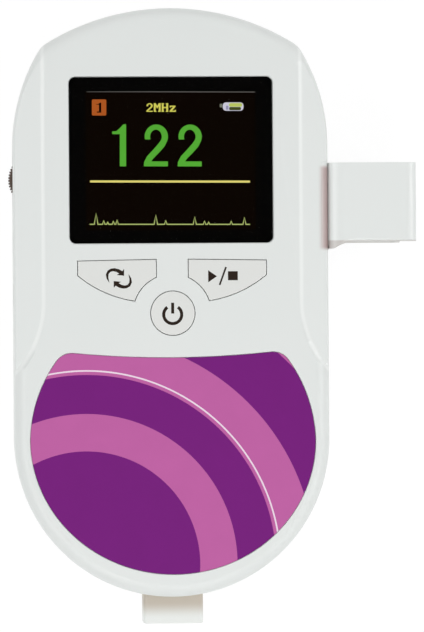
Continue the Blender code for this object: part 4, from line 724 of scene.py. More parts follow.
for cutter in side_cutters():
    boolean(front, cutter)
ROLL_START = 25.8
roll = oval((36.0, ROLL_START), 2.0, 1.8, 0, 84, 12)
scoop_profile = [(40, ROLL_START)] + roll + [(roll[-1][0], 31), (40, 31)]
scoop = plate("scoop", scoop_profile, CLIP_LOW_Y - 0.5, CLIP_HIGH_Y + 0.4, "Y")
boolean(front, soften(scoop, 0.9, 5, 60))
fit(smooth(front), "housing", "housing_white", front_abs, "front_cover")

# %% [markdown]
# ## The back cover
# It has a rounder rim, so that it sits well in the palm, nine slots over the loudspeaker, four
# sunk screw holes, and a well for the battery under a sliding door. The door's bed is a step
# as deep as the door is thick and a gap more, cut by the back's own form set in by that much.

# %% The back's form
BACK_TOP, BACK_RIM, ROOT = 14.85, 6.5, 1.9


def back_form(name, inset, top=BACK_TOP, steps=10):
    """The back cover's outside, or with an inset the form inside it."""
    rings = rim(inset, inset, BACK_RIM - inset, -1, steps)
    return stack(name, [(housing_outline(inset), top)] + rings)


back = back_form("back_shell", 0)
soften(back, 0.2, 3, 60)
boolean(back, back_form("inside", WALL, BACK_TOP + 1, 6))
boolean(back, plate("rabbet", housing_outline(LIP_INSET - 0.1), LIP_LOW - 0.3, BACK_TOP + 1))

# %% Loudspeaker's wall, grille and screw bosses
SPEAKER = (0, 33)
SPEAKER_BED, SPEAKER_WALL = 16.3, 17.3
boolean(back, rod("wall", SPEAKER_WALL, (*SPEAKER, ROOT), (*SPEAKER, 6.4), 64), "UNION")
boolean(back, rod("speaker_bed", SPEAKER_BED, (*SPEAKER, WALL), (*SPEAKER, 8), 64))
GRILLE_RADIUS, SLOT_WIDTH, SLOT_PITCH, SLOT_ROWS = 12.5, 1.2, 2.6, 9
for row in range(SLOT_ROWS):
    rise = (row - (SLOT_ROWS - 1) / 2) * SLOT_PITCH
    half = math.sqrt(GRILLE_RADIUS**2 - rise**2)
    slot = rounded_rectangle(
        2 * half, SLOT_WIDTH, SLOT_WIDTH / 2 - 0.01, (0, SPEAKER[1] + rise), 6
    )
    flared = grown(slot, 0.2)
    boolean(back, stack("slot", [(flared, -1), (flared, -0.05), (slot, 0.2), (slot, 4)]))
POSTS = [(19, 59.5), (-19, 59.5), (24.5, -47), (-24.5, -47)]
for x, y in POSTS:
    boolean(back, rod("boss", 3.6, (x, y, ROOT), (x, y, 9)), "UNION")
    boolean(back, rod("counterbore", 2.7, (x, y, -1), (x, y, 5)))
    boolean(back, rod("shank_hole", 1.4, (x, y, 0), (x, y, 10)))
print("back cover with bosses", len(back.data.polygons))

# %% Battery well, door bed and hooks' notches
DOOR_WIDTH, DOOR_HEAD, DOOR_SHEET, DOOR_END = 35, -6, 1.2, 6
WELL, WELL_WALL, WELL_TOP = (17.9, -57.5, -8.5), 1.2, 13.7
LEDGE = DOOR_WIDTH / 2 - 1.9
HOOK_TOP = 3.3
HOOKS = [DOOR_HEAD + (WELL[1] - DOOR_HEAD) * share for share in (0.28, 0.75)]
HOOK_LENGTH, HOOK_SHEET, HOOK_REACH, DOOR_TRAVEL, DOOR_GAP = 6, 0.8, 1.4, 6, 0.3
low = (-WELL[0] - WELL_WALL, WELL[1] - WELL_WALL, ROOT)
high = (WELL[0] + WELL_WALL, WELL[2] + WELL_WALL, WELL_TOP)
boolean(back, box("well", low, high), "UNION")
low, high = (-WELL[0], WELL[1], WALL), (WELL[0], WELL[2], WELL_TOP - WELL_WALL)
boolean(back, box("well_inside", low, high))
bed_half = DOOR_WIDTH / 2 + DOOR_GAP
bed = box("bed", (-bed_half, -72, -1), (bed_half, DOOR_HEAD + DOOR_GAP, DOOR_END + DOOR_GAP))
boolean(bed, back_form("bed_floor", DOOR_SHEET + DOOR_GAP))
boolean(back, bed)
boolean(back, box("mouth", (-LEDGE, WELL[1] + 1.9, -1), (LEDGE, WELL[2] - 1.9, 3.2)))
for along in HOOKS:
    reach, half = LEDGE + HOOK_REACH + DOOR_GAP, HOOK_LENGTH / 2 + DOOR_GAP
    drop = along - DOOR_TRAVEL
    boolean(back, box("notch", (-reach, drop - half, -1), (reach, drop + half, 3.2)))
boolean(back, box("latch_slot", (-5.3, DOOR_HEAD - 1, 0.4), (5.3, DOOR_HEAD + 1.8, 1.5)))
boolean(back, box("contacts", (-6.3, WELL[2] - 1, 3.6), (6.3, WELL[2] + 2.2, 9.2)))
for cutter in side_cutters():
    boolean(back, cutter)
boolean(back, box("clip_pocket", (37, CLIP_LOW_Y - 0.3, 3.5), (40, CLIP_HIGH_Y + 0.3, 16)))
fit(smooth(back), "housing", "housing_white", housing_abs, "back_cover")

# %% [markdown]
# ## The battery door
# The door is a slice of the back's own form, so its curled end carries on the round of the
# foot. It has four hooks, a catch at its head and five thumb grooves.

# %% Door with its hooks and grooves
door = back_form("door_panel", 0)
plan = box("plan", (-DOOR_WIDTH / 2, -72, -1), (DOOR_WIDTH / 2, DOOR_HEAD, DOOR_END))
boolean(door, plan, "INTERSECT")
soften(door, 0.15, 2, 60)
boolean(door, back_form("hollow", DOOR_SHEET))
inner = LEDGE - DOOR_GAP
for along in HOOKS:
    low, high = along - HOOK_LENGTH / 2, along + HOOK_LENGTH / 2
    for side in (RIGHT, LEFT):
        for name, reach, root in (("hook", 0, 0.9), ("toe", HOOK_REACH, 2.5)):
            xs = sorted((side * (inner + reach), side * (inner - HOOK_SHEET)))
            boolean(door, box(name, (xs[0], low, root), (xs[1], high, HOOK_TOP)), "UNION")
boolean(door, box("catch", (-5, DOOR_HEAD - 0.3, 0.6), (5, DOOR_HEAD + 1.2, 1.1)), "UNION")
GROOVES, GROOVE_PITCH, GROOVE_HALF = 5, 1.8, 7
for row in range(GROOVES):
    y = DOOR_HEAD - 6 - row * GROOVE_PITCH
    boolean(door, rod("groove", 0.5, (-GROOVE_HALF, y, 0.1), (GROOVE_HALF, y, 0.1), 24))
fit(smooth(door), "battery_door", "housing_white", housing_abs, "battery_door")

# %% [markdown]
# ## The probe clip
# The clip is one strip of ABS bent round three sides of the probe: a front plate, the wall
# beside the unit and a shorter back plate, with a lip on each free edge. It stands on a foot
# that flares out of the wall. It is drawn as a profile seen along the unit and given its
# length, the foot's flare is cut, and every edge is rounded. A pad on its wall fills the
# pocket in the covers, and a thin strip above the pad closes the slit beside the front cover.

# %% The clip's profile
CLIP_LEFT, CLIP_RIGHT, CLIP_FRONT, CLIP_BACK, CLIP_SHEET = 38.2, 59.3, 28.4, 6.2, 2.2
LEFT_ROUND, RIGHT_ROUND, CLIP_EDGE = (3.9, 1.7), (2.5, 1.5), 0.85


def clip_profile():
    """The clip's closed profile in X and Z."""
    sheet, lip, lip_width, back_right = CLIP_SHEET, 1.0, 1.2, CLIP_RIGHT - 2.2
    left_r, right_r = 3.0, 1.8
    front_left = (CLIP_LEFT + left_r, CLIP_FRONT - left_r)
    back_left = (CLIP_LEFT + left_r, CLIP_BACK + left_r)
    back_low = (back_right - right_r, CLIP_BACK + right_r)
    points = [(CLIP_RIGHT, CLIP_FRONT - sheet - lip)]
    across, up = RIGHT_ROUND
    points += oval((CLIP_RIGHT - across, CLIP_FRONT - up), across, up, 0, 90, 10)
    across, up = LEFT_ROUND
    points += oval((CLIP_LEFT + across, CLIP_FRONT - up), across, up, 90, 180, 10)
    points += arc(back_left, left_r, 180, 270, 10)
    points += arc(back_low, right_r, 270, 360, 8)
    points += [
        (back_right, CLIP_BACK + sheet + lip),
        (back_right - lip_width, CLIP_BACK + sheet + lip),
        (back_right - lip_width - lip, CLIP_BACK + sheet),
    ]
    points += arc(back_left, left_r - sheet, 270, 180, 10)
    points += arc(front_left, left_r - sheet, 180, 90, 10)
    points += [
        (CLIP_RIGHT - lip_width - lip, CLIP_FRONT - sheet),
        (CLIP_RIGHT - lip_width, CLIP_FRONT - sheet - lip),
    ]
    return points


clip = plate("clip_strip", clip_profile(), CLIP_LOW_Y, CLIP_HIGH_Y, "Y")

# %% The clip's foot, edges and pad
PAD_LOW_Y, PAD_HIGH_Y = 13.3, 33
foot_x, flare, drop = CLIP_LEFT + 1.3, 5.2, 1.65
waist_radius = (flare**2 + drop**2) / (2 * drop)
sweep = math.degrees(math.asin(flare / waist_radius))
waist = [(foot_x, CLIP_LOW_Y - 1)]
middle = (foot_x + flare, CLIP_LOW_Y + drop - waist_radius)
waist += arc(middle, waist_radius, 90 + sweep, 90, 14)
waist += [(62, CLIP_LOW_Y + drop), (62, CLIP_LOW_Y - 1)]
waist.reverse()
levels = [(waist, 0)]
for outwards, below in rounding(CLIP_EDGE, 6):
    levels.append((grown(waist, outwards), CLIP_FRONT - below))
boolean(clip, stack("waist", levels + [(levels[-1][0], 30)]))
soften(clip, 0.5, 4, 50)
for name, low, high in (
    ("pad", (37.15, PAD_LOW_Y, 7.7), (39.3, PAD_HIGH_Y, 14)),
    ("seal", (38.02, PAD_LOW_Y, 20), (39.0, PAD_HIGH_Y, 25.95)),
):
    boolean(clip, box(name, low, high), "UNION")
fit(smooth(clip), "housing", "housing_white", clip_abs, "probe_clip")

# %% [markdown]
# ## The probe port
# At the foot a rectangular shroud stands out between the two covers. The shroud is hollow,
# with an eased mouth, and holds a black insert whose shelf carries six flat contacts.

# %% Port shroud
mouth = rounded_rectangle(PORT_WIDTH - 0.2, PORT_HEIGHT, 1.0, (PORT_SHIFT, PARTING))
port = stack(
    "port_shroud",
    [
        (grown(mouth, -0.3), PORT_MOUTH),
        (grown(mouth, -0.08), PORT_MOUTH + 0.09),
        (mouth, PORT_MOUTH + 0.3),
        (mouth, -67),
    ],
    "Y",
)
flange = rounded_rectangle(18.5, 12.5, 1.0, (0, PARTING))
boolean(port, plate("flange", flange, -67.3, -65.9, "Y"), "UNION")
cavity = rounded_rectangle(PORT_WIDTH - 2.4, PORT_HEIGHT - 2.4, 0.5, (0, PARTING))
boolean(
    port,
    stack(
        "cavity",
        [
            (grown(cavity, 0.5), PORT_MOUTH - 1),
            (grown(cavity, 0.3), PORT_MOUTH - 0.01),
            (cavity, PORT_MOUTH + 0.35),
            (cavity, -60),
        ],
        "Y",
    ),
)
fit(smooth(port), "housing", "housing_white", port_abs, "probe_port")

# %% [markdown]
# ## The keys
# Each key is a moulded cap in an opening 0.16 mm wider than itself all round. Under the cover
# it has a flange that keeps it in, and a stem that reaches its switch. One stack of outlines
# makes flange and cap together, and the cap's upper edge is rounded by 0.15 mm.

# %% Key caps
KEY_GAP, KEY_TOP, KEY_EASE = 0.2, 29.188, 0.15
KEY_FLANGE, FLANGE_REACH = (25.7, 26.5), 0.85


def key_cap(name, outline, centre):
    """A key with its flange and its stem."""
    cap = grown(outline, -KEY_GAP)
    wide = grown(outline, FLANGE_REACH)
    rings = [(wide, KEY_FLANGE[0]), (wide, KEY_FLANGE[1]), (cap, KEY_FLANGE[1])]
    rings += [(grown(cap, -inset), KEY_TOP - below) for inset, below in rounding(KEY_EASE, 3)]
    made = stack(name + "_cap", rings)
    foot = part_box(name)[0].z / MM
    boolean(made, rod("stem", 2.1, (*centre, foot), (*centre, 25.9), 32), "UNION")
    return fit(smooth(made), name, "key_white", key_abs, name)


SWITCHES = {"mode_key": (-12.5, 6.2), "play_key": (12.5, 6.2), "power_key": KEY_HUB}
for name, centre in SWITCHES.items():
    key_cap(name, KEY_OUTLINES[name], centre)

# %% [markdown]
# ## Drawing in flat colour
# Signs on the keys and figures on the screen are flat shapes. Each is an outline given a hair's
# thickness, so that it is a closed solid. Shapes of one colour are joined to one piece. A
# line of some width is drawn as the outline round it, with mitred corners.


# %% Flat shapes
def stroked(points, width):
    """The closed outline round an open line of some width."""
    sides = ([], [])
    for index, (x, y) in enumerate(points):
        x0, y0 = points[max(index - 1, 0)]
        x1, y1 = points[min(index + 1, len(points) - 1)]
        before = (x - x0, y - y0) if index else (x1 - x, y1 - y)
        after = (x1 - x, y1 - y) if index < len(points) - 1 else before
        ax, ay = before[0] / math.hypot(*before), before[1] / math.hypot(*before)
        bx, by = after[0] / math.hypot(*after), after[1] / math.hypot(*after)
        stretch = width / 2 / max(1 + ax * bx + ay * by, 0.5)
        across, up = -(ay + by) * stretch, (ax + bx) * stretch
        sides[0].append((x + across, y + up))
        sides[1].append((x - across, y - up))
    return sides[0] + sides[1][::-1]


def rectangle(left, low, right, high):
    """A plain rectangle as an outline."""
    return [(right, high), (left, high), (left, low), (right, low)]


def moved(points, across, up, size=1):
    """An outline scaled about its origin and moved."""
    return [(across + x * size, up + y * size) for x, y in points]


def drawing(name, outlines, low, thickness=0.012):
    """One piece from flat shapes that don't overlap."""
    shapes = [plate(name, points, low, low + thickness) for points in outlines]
    pick(*shapes)
    if len(shapes) > 1:
        bpy.ops.object.join()
    piece = bpy.context.object
    piece.name = piece.data.name = name
    return piece


# %% [markdown]
# ## Signs on the keys
# The signs are pad-printed in a dark brown ink: two arrows that chase each other, a triangle
# with a stroke and a square, and the ring with a bar that stands for power on any appliance.
# They stand 0.012 mm proud of the caps and ride with them.

# %% Printed signs
ink = two_tone(
    "pad_print_ink_brown", "#20160F", "#281C14", 0.6, 1.5, 0, {"Specular IOR Level": 0.12}
)


ARROW = [
    (-2.13, -0.97), (-2.35, 0.2), (-2.3, 0.95), (-1.9, 1.45), (-1.3, 1.6), (-0.6, 1.45),
    (0.05, 1.08), (-0.47, 0.76), (1.16, 0.59), (1.16, 2.08), (0.75, 1.62), (0, 2.05),
    (-0.9, 2.28), (-1.75, 2.2), (-2.5, 1.75), (-2.89, 0.9), (-2.75, 0),
]
MODE_SIGN, SIGN_SIZE, RING_CENTRE = (-12.78, 5.85), 1.08, (0.1, -2.93)
SIGNS = {
    "mode_key": [
        moved(ARROW, *MODE_SIGN, SIGN_SIZE),
        moved([(-x, -y) for x, y in ARROW], *MODE_SIGN, SIGN_SIZE),
    ],
    "play_key": [
        [(10.8, 6.22), (8.72, 7.68), (8.72, 4.76)],
        stroked([(11.45, 4.11), (13.02, 8.43)], 0.42),
        rectangle(13.48, 5.24, 15.84, 7.4),
    ],
    "power_key": [
        arc(RING_CENTRE, 2.54, 126, 414, 40) + arc(RING_CENTRE, 1.79, 414, 126, 40),
        rectangle(-0.26, -2.68, 0.46, -0.08),
    ],
}
for key, outlines in SIGNS.items():
    fit(drawing(key + "_sign", outlines, KEY_TOP), key, "frame_black", ink)

# %% [markdown]
# ## The screen window
# A 1 mm acrylic pane is stuck in its recess with a frame of black tape. Its back is printed
# black, but for the field over the display. Behind it lies the display, whose lit face is a
# shade lighter than the black round it. Wiping has left the pane's gloss a little uneven.

# %% Pane, printed mask and tape
PANE, PANE_LOW, PANE_TOP = (49, 40, 1.5), 27.85, 28.85
LIT, LIT_CENTRE = (40.9, 33.4), (-0.05, 34.14)


def frame_ring(name, outer, inner, low, high):
    """A flat frame between two outlines."""
    ring = plate(name, outer, low, high)
    return boolean(ring, plate("hole", inner, low - 1, high + 1))


acrylic, acrylic_shader, place = new_material(
    "acrylic_clear_polished",
    "#050505",
    0.04,
    {"IOR": 1.49, "Alpha": 0.04, "Specular IOR Level": 0.06},
)
smears = add_node(
    acrylic, "ShaderNodeTexNoise", {"Scale": per_metre(14), "Detail": 3}, {"Vector": place}
)
patterned(acrylic, acrylic_shader, smears.outputs["Fac"], gloss=(0.03, 0.1))
mask_ink = two_tone(
    "screen_print_black_behind_acrylic", "#020202", "#060504", 0.1, 4, 0,
    {"IOR": 1.49, "Specular IOR Level": 0.01},
)
pane = eased_plate(
    "window_pane", rounded_rectangle(*PANE, WINDOW), PANE_LOW + 0.02, PANE_TOP, 0.1, 2
)
fit(smooth(pane), "housing", "window_black", acrylic, "display_window")
x, y, half_x, half_y = *LIT_CENTRE, LIT[0] / 2, LIT[1] / 2
mask = frame_ring(
    "window_mask",
    rounded_rectangle(PANE[0] - 0.02, PANE[1] - 0.02, PANE[2], WINDOW),
    rectangle(x - half_x, y - half_y, x + half_x, y + half_y),
    PANE_LOW,
    PANE_LOW + 0.015,
)
fit(mask, "housing", "window_black", mask_ink)
tape_foam = two_tone("acrylic_foam_tape_black", "#101010", "#1A1A1A", 0.85, 0.3, 0.02)
tape = frame_ring(
    "window_tape",
    rounded_rectangle(PANE[0] - 0.3, PANE[1] - 0.3, 1.4, WINDOW),
    rounded_rectangle(43.0, 35.4, 0.3, WINDOW),
    WINDOW_SEAT,
    PANE_LOW - 0.002,
)
fit(tape, "housing", "foam", tape_foam)


# %% [markdown]
# ## What the screen shows
# The screen is a colour LCD with a white backlight. A lit figure gives its own light, so its
# material is an emission with strength 1, and its colour shows as written. The backlight is
# never quite even, so each colour is a few per cent stronger in some places than in others.

# %% LCD colours
SCREEN_FACE = 26.5


def lcd(name, colour, evenness=0.12):
    """An LCD colour, lit from behind by a backlight that is a little uneven."""
    material, shader, place = new_material(
        name, "#000000", 0.3, {"Specular IOR Level": 0.01, "Emission Strength": 1.0}
    )
    glow = add_node(
        material, "ShaderNodeTexNoise", {"Scale": per_metre(9), "Detail": 1}, {"Vector": place}
    )
    strong = linear(colour)
    weak = [c * (1 - evenness) for c in strong[:3]] + [1]
    tone = add_node(
        material,
        "ShaderNodeMix",
        {"data_type": "RGBA", 6: strong, 7: weak},
        {0: glow.outputs["Fac"]},
    )
    link(material, tone.outputs[2], shader, "Emission Color")
    return material


SCREEN_TURN, SCREEN_SHIFT, FLAT = math.radians(-0.35), 0.16, 0.02


def on_screen(name, colour, outlines, level=0):
    """Shows flat shapes on the screen in one colour. The display sits a hair askew."""
    cosine, sine = math.cos(SCREEN_TURN), math.sin(SCREEN_TURN)
    turned = []
    for points in outlines:
        rises = [(x, y - WINDOW[1]) for x, y in points]
        turned.append(
            [
                (x * cosine - rise * sine + SCREEN_SHIFT, x * sine + rise * cosine + WINDOW[1])
                for x, rise in rises
            ]
        )
    piece = drawing(name, turned, SCREEN_FACE + FLAT + 0.012 * level)
    return fit(piece, "housing", "display_black", lcd("lcd_" + name, colour))


cell = rounded_rectangle(42.6, 35.0, 0.3, WINDOW)
face = plate("screen_face", cell, SCREEN_FACE, SCREEN_FACE + FLAT)
fit(face, "housing", "display_black", lcd("lcd_dark", "#090300"))
on_screen("screen_top_line", "#5C5A57", [rectangle(-20.4, 50.66, 20.3, 50.88)])

# %% Large digits
ONE = [
    (3.55, 10.7), (2.83, 10.7), (1.94, 9.72), (1.05, 8.95), (0, 8.89), (0, 8.2),
    (1.94, 8.2), (1.94, 0), (3.55, 0),
]
TWO = (
    oval((3.2, 7.6), 2.98, 3.08, 194, -22, 26)
    + [(5.25, 5.0), (3.7, 3.3), (2.4, 2.0), (1.92, 1.27), (6.15, 1.27), (6.15, 0)]
    + [(0, 0), (0.08, 1.1), (0.85, 2.6), (2.4, 4.25), (3.75, 5.8)]
    + oval((3.1, 7.55), 1.48, 1.82, -26, 202, 22)
)
BASELINE, DIGIT_SIZE = 32.8, 0.945
on_screen(
    "screen_digits",
    "#58B138",
    [
        moved(figure, left, BASELINE, DIGIT_SIZE)
        for figure, left in ((ONE, -14.26), (TWO, -6.64), (TWO, 1.52))
    ],
)

# %% Rule, trace and the frequency
on_screen("screen_rule", "#ECE07C", [stroked([(-19.6, 29.15), (19.0, 29.15)], 0.5)])
TRACE_BASE, BEAT_HALF, BEAT_FLARE, BEAT_HEIGHT = 18.83, 0.22, 0.085, 1.06
BEATS = (
    (-18.15, 2.55), (-16.3, 0.85), (-15.35, 0.45), (-14.0, 0.7), (-13.1, 1.0),
    (-3.75, 2.2), (-1.35, 0.9), (5.65, 1.75), (8.0, 0.75), (9.0, 0.5),
    (14.45, 0.75), (17.65, 1.6),
)
trace = [(-19.7, TRACE_BASE)]
for across, height in BEATS:
    half, top = BEAT_HALF + height * BEAT_FLARE, TRACE_BASE + height * BEAT_HEIGHT
    trace += [(across - half, TRACE_BASE), (across, top), (across + half, TRACE_BASE)]
trace.append((19.0, TRACE_BASE))
on_screen("screen_trace", "#B5C474", [stroked(trace, 0.25)])

M_SIGN = [
    (0, 0), (0.62, 0), (0.62, 0.25), (0.45, 0.25), (0.45, 1.5), (0.82, 0.85), (1.2, 1.5),
    (1.2, 0.25), (1.03, 0.25), (1.03, 0), (1.65, 0), (1.65, 2.3), (1.2, 2.3),
    (0.82, 1.55), (0.45, 2.3), (0, 2.3),
]
H_SIGN = [
    (0, 0), (0.62, 0), (0.62, 0.25), (0.5, 0.25), (0.5, 0.98), (1.15, 0.98), (1.15, 0.25),
    (1.03, 0.25), (1.03, 0), (1.65, 0), (1.65, 0.25), (1.6, 0.25), (1.6, 2.05), (1.65, 2.05),
    (1.65, 2.3), (1.03, 2.3), (1.03, 2.05), (1.15, 2.05), (1.15, 1.32), (0.5, 1.32),
    (0.5, 2.05), (0.62, 2.05), (0.62, 2.3), (0, 2.3), (0, 2.05), (0.05, 2.05), (0.05, 0.25),
    (0, 0.25),
]
Z_SIGN = [
    (0, 0), (1.5, 0), (1.5, 0.55), (1.3, 0.55), (1.25, 0.32), (0.62, 0.32), (1.45, 1.4),
    (1.45, 1.65), (0.05, 1.65), (0.05, 1.15), (0.25, 1.15), (0.3, 1.35), (0.85, 1.35),
    (0, 0.28),
]
SMALL_TWO = [(x * 0.25, y * 0.215) for x, y in TWO]
TEXT_BASE, TEXT_HEIGHT = 45.95, 0.9
lettering = ((SMALL_TWO, -6.02), (M_SIGN, -4.22), (H_SIGN, -2.36), (Z_SIGN, -0.42))
on_screen(
    "screen_frequency",
    "#DAD55E",
    [
        moved([(x, y * TEXT_HEIGHT) for x, y in sign], left, TEXT_BASE)
        for sign, left in lettering
    ],
)

# %% Channel sign and battery gauge
channel_field = rounded_rectangle(3.47, 3.86, 0.33, (-17.41, 46.96))
on_screen("screen_channel", "#B55B24", [channel_field])
number = moved([(x * 0.34, y * 0.2) for x, y in ONE], -18.1, 46.0)
serif = rectangle(-17.95, 45.72, -16.85, 45.99)
on_screen("screen_channel_number", "#0C0300", [number, serif], 1)
GAUGE_PARTS = (
    ("rim", "#D6D4E4", (5.0, 2.02, 0.8), (14.94, 47.25), 0),
    ("nub", "#7B7E6F", (0.6, 0.87, 0.1), (12.02, 47.47), 0),
    ("cap", "#9C99BC", (0.62, 1.0, 0.2), (13.5, 46.96), 1),
    ("level", "#C3D266", (3.2, 0.9, 0.42), (15.52, 47.65), 1),
    ("shade", "#454F1E", (2.85, 0.77, 0.3), (15.4, 46.76), 1),
)
for part, colour, size, middle, level in GAUGE_PARTS:
    on_screen("screen_gauge_" + part, colour, [rounded_rectangle(*size, middle)], level)

# %% [markdown]
# ## The printed film
# The lower half carries a polycarbonate film, printed from behind in two inks and lacquered
# with a satin finish. The print here is a plain pattern of rings round a point at the lower
# left, in the pink and the purple of such units. In shader nodes that is the distance from
# that point, fed to a ramp with hard steps. A hair of unevenness keeps it from looking like
# paint out of a computer, as a screen print's ink is never quite even.

# %% Film with rings
film, film_shader, place = new_material(
    "polycarbonate_film_screen_printed",
    "#761B7B",
    0.32,
    {"IOR": 1.58, "Specular IOR Level": 0.12},
)
PINK, PURPLE, HAIRLINE = "#C264A6", "#761B7B", "#F1DDEC"
RING_MIDDLE, RING_REACH = (-21, -63), 100
RINGS = [
    (0, PURPLE), (27, PINK), (36, PURPLE), (45.5, PINK), (46.3, HAIRLINE), (46.75, PINK),
    (55, PURPLE), (68.5, PINK), (69.3, HAIRLINE), (69.75, PINK), (80, PURPLE),
]
distance = add_node(
    film,
    "ShaderNodeVectorMath",
    {"operation": "DISTANCE", 1: (RING_MIDDLE[0] * MM, RING_MIDDLE[1] * MM, FILM_TOP * MM)},
    {0: place},
)
share = add_node(
    film,
    "ShaderNodeMapRange",
    {"From Max": RING_REACH * MM},
    {"Value": distance.outputs["Value"]},
)
rings = add_node(film, "ShaderNodeValToRGB", {}, {"Fac": share.outputs["Result"]})
ramp = rings.color_ramp
ramp.interpolation = "CONSTANT"
ramp.elements.remove(ramp.elements[1])
for step, (reach, colour) in enumerate(RINGS):
    stop = ramp.elements[0] if step == 0 else ramp.elements.new(reach / RING_REACH)
    stop.position = reach / RING_REACH
    stop.color = linear(colour)
mottle = add_node(
    film, "ShaderNodeTexNoise", {"Scale": per_metre(6), "Detail": 3}, {"Vector": place}
)
shade = add_node(
    film,
    "ShaderNodeMapRange",
    {"To Min": 0.96, "To Max": 1.04},
    {"Value": mottle.outputs["Fac"]},
)
printed = add_node(
    film,
    "ShaderNodeHueSaturation",
    {},
    {"Color": rings.outputs["Color"], "Value": shade.outputs["Result"]},
)
link(film, printed.outputs["Color"], film_shader, "Base Color")
lacquer = add_node(
    film, "ShaderNodeTexNoise", {"Scale": per_metre(0.5), "Detail": 2}, {"Vector": place}
)
patterned(film, film_shader, lacquer.outputs["Fac"], depth=0.003, strength=0.35)
sheet = eased_plate("printed_film", film_outline(), FILM_TOP - FILM_THICKNESS, FILM_TOP, 0.1, 2)
fit(smooth(sheet), "housing", "label_film", film, "face_label")

# %% [markdown]
# ## The thumb wheel
# The wheel has 56 teeth, so that a thumb can turn it, and shows a thin slice of itself
# through the slot in the side. It is a gear-shaped outline stacked with a chamfer at both
# faces, dished on the side with its screw, and bored for its axle. It is moulded in a dark
# soft rubber.

# %% Wheel
TEETH, TOOTH_DEPTH, TIP_EASE, CHAMFER = 56, 0.35, 0.08, 0.25
TOOTH = (
    (0.0, TIP_EASE), (0.1, 0), (0.4, 0), (0.5, TIP_EASE),
    (0.62, TOOTH_DEPTH), (0.88, TOOTH_DEPTH),
)


def wheel_outline(inset):
    """The toothed rim, inset for its chamfer."""
    points = []
    for tooth in range(TEETH):
        for part, depth in TOOTH:
            reach = WHEEL_RADIUS - depth - inset
            angle = 2 * math.pi * (tooth + part) / TEETH
            points.append((reach * math.cos(angle), reach * math.sin(angle)))
    return moved(points, *WHEEL_CENTRE[:2])


low, high = WHEEL_CENTRE[2] - WHEEL_THICKNESS / 2, WHEEL_CENTRE[2] + WHEEL_THICKNESS / 2
rims = [(CHAMFER, low), (0, low + CHAMFER), (0, high - CHAMFER), (CHAMFER, high)]
wheel = stack("thumb_wheel", [(wheel_outline(inset), level) for inset, level in rims])
hub = rod("hub", 5.05, (*WHEEL_CENTRE[:2], low - 1), (*WHEEL_CENTRE[:2], low + 0.7))
boolean(hub, rod("core", 3.0, (*WHEEL_CENTRE[:2], low - 2), (*WHEEL_CENTRE[:2], high)))
boolean(wheel, hub)
boolean(wheel, rod("bore", 1.3, (*WHEEL_CENTRE[:2], low - 1), (*WHEEL_CENTRE[:2], high + 1)))
rubber = two_tone("soft_rubber_moulded_dark", "#3A302B", "#6A5648", 0.62, 0.6)
fit(smooth(wheel), "volume_wheel", "wheel_rubber", rubber, "volume_wheel")

# %% [markdown]
# ## Loudspeaker cloth
# Behind the nine slots a thin black cloth keeps dust out of the loudspeaker. It is woven, so
# its bump is two sets of waves at right angles. The threads are 0.25 mm apart on the real
# cloth and 0.5 mm here, to show at all.

# %% Cloth
cloth_weave, cloth_shader, place = new_material("polyester_grille_cloth_woven", "#1A1A1B", 0.9)
threads = [
    add_node(
        cloth_weave,
        "ShaderNodeTexWave",
        {"bands_direction": direction, "Scale": per_metre(0.5) * math.pi / 10},
        {"Vector": place},
    )
    for direction in ("X", "Y")
]
weave = add_node(
    cloth_weave,
    "ShaderNodeMath",
    {"operation": "MAXIMUM"},
    {0: threads[0].outputs["Fac"], 1: threads[1].outputs["Fac"]},
)
patterned(cloth_weave, cloth_shader, weave.outputs[0], ("#0C0C0D", "#2C2C2E"), depth=0.08)
cloth = rod("speaker_cloth", 13.6, (*SPEAKER, WALL + 0.005), (*SPEAKER, WALL + 0.085), 64)
fit(cloth, "housing", "foam", cloth_weave)

# %% [markdown]
# ## Screws
# The housing is held by four pan-head screws with a cross recess, sunk in the back, and the
# clip by two more. A head is a turned profile: here a stack of circles that close in to a dome,
# with the cross cut into it by two tapered blades. Zinc plating gives a soft grey shine.

# %% Zinc-plated steel
def plated(name, colour, other, roughness, grain):
    """A plated metal whose shine is a little uneven."""
    gloss = (roughness - 0.08, roughness + 0.12)
    return two_tone(name, colour, other, roughness, grain, 0, {"Metallic": 1.0}, gloss)


zinc = plated("steel_zinc_plated", "#C9CACC", "#9A9CA1", 0.3, 1.5)


# %% Cross-head screws
def screw(name, at, radius, height, shank, length):
    """An upright screw, its head below and the head's outer face at a point."""
    across, face = (at[0], at[1]), at[2]
    step = height / 4
    rings = [
        (circle(radius * 0.7, across), face),
        (circle(radius * 0.9, across), face + step * 0.6),
        (circle(radius, across), face + step * 2),
        (circle(radius, across), face + height),
        (circle(shank, across), face + height),
        (circle(shank, across), face + height + length),
    ]
    made = stack(name, rings)
    wide, thin = radius * 0.56, radius * 0.15
    for half_x, half_y in ((wide, thin), (thin, wide)):
        shape = rectangle(-half_x, -half_y, half_x, half_y)
        blade, tip = moved(shape, *across), moved(shape, *across, 0.6)
        levels = [(blade, face - 0.5), (blade, face + 0.05), (tip, face + height * 0.7)]
        boolean(made, stack("blade", levels))
    return smooth(made, 40)


HEAD_RADIUS, HEAD_HEIGHT, SHANK_RADIUS = 2.2, 1.7, 1.1
for number in range(1, len(POSTS) + 1):
    low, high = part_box("housing_screw_%d" % number)
    middle = (low + high) / 2 / MM
    at = (middle.x, middle.y, low.z / MM)
    length = (high.z - low.z) / MM - HEAD_HEIGHT
    made = screw("back_screw_%d" % number, at, HEAD_RADIUS, HEAD_HEIGHT, SHANK_RADIUS, length)
    fit(made, "housing", "screw_steel", zinc, "housing_screw_%d" % number)

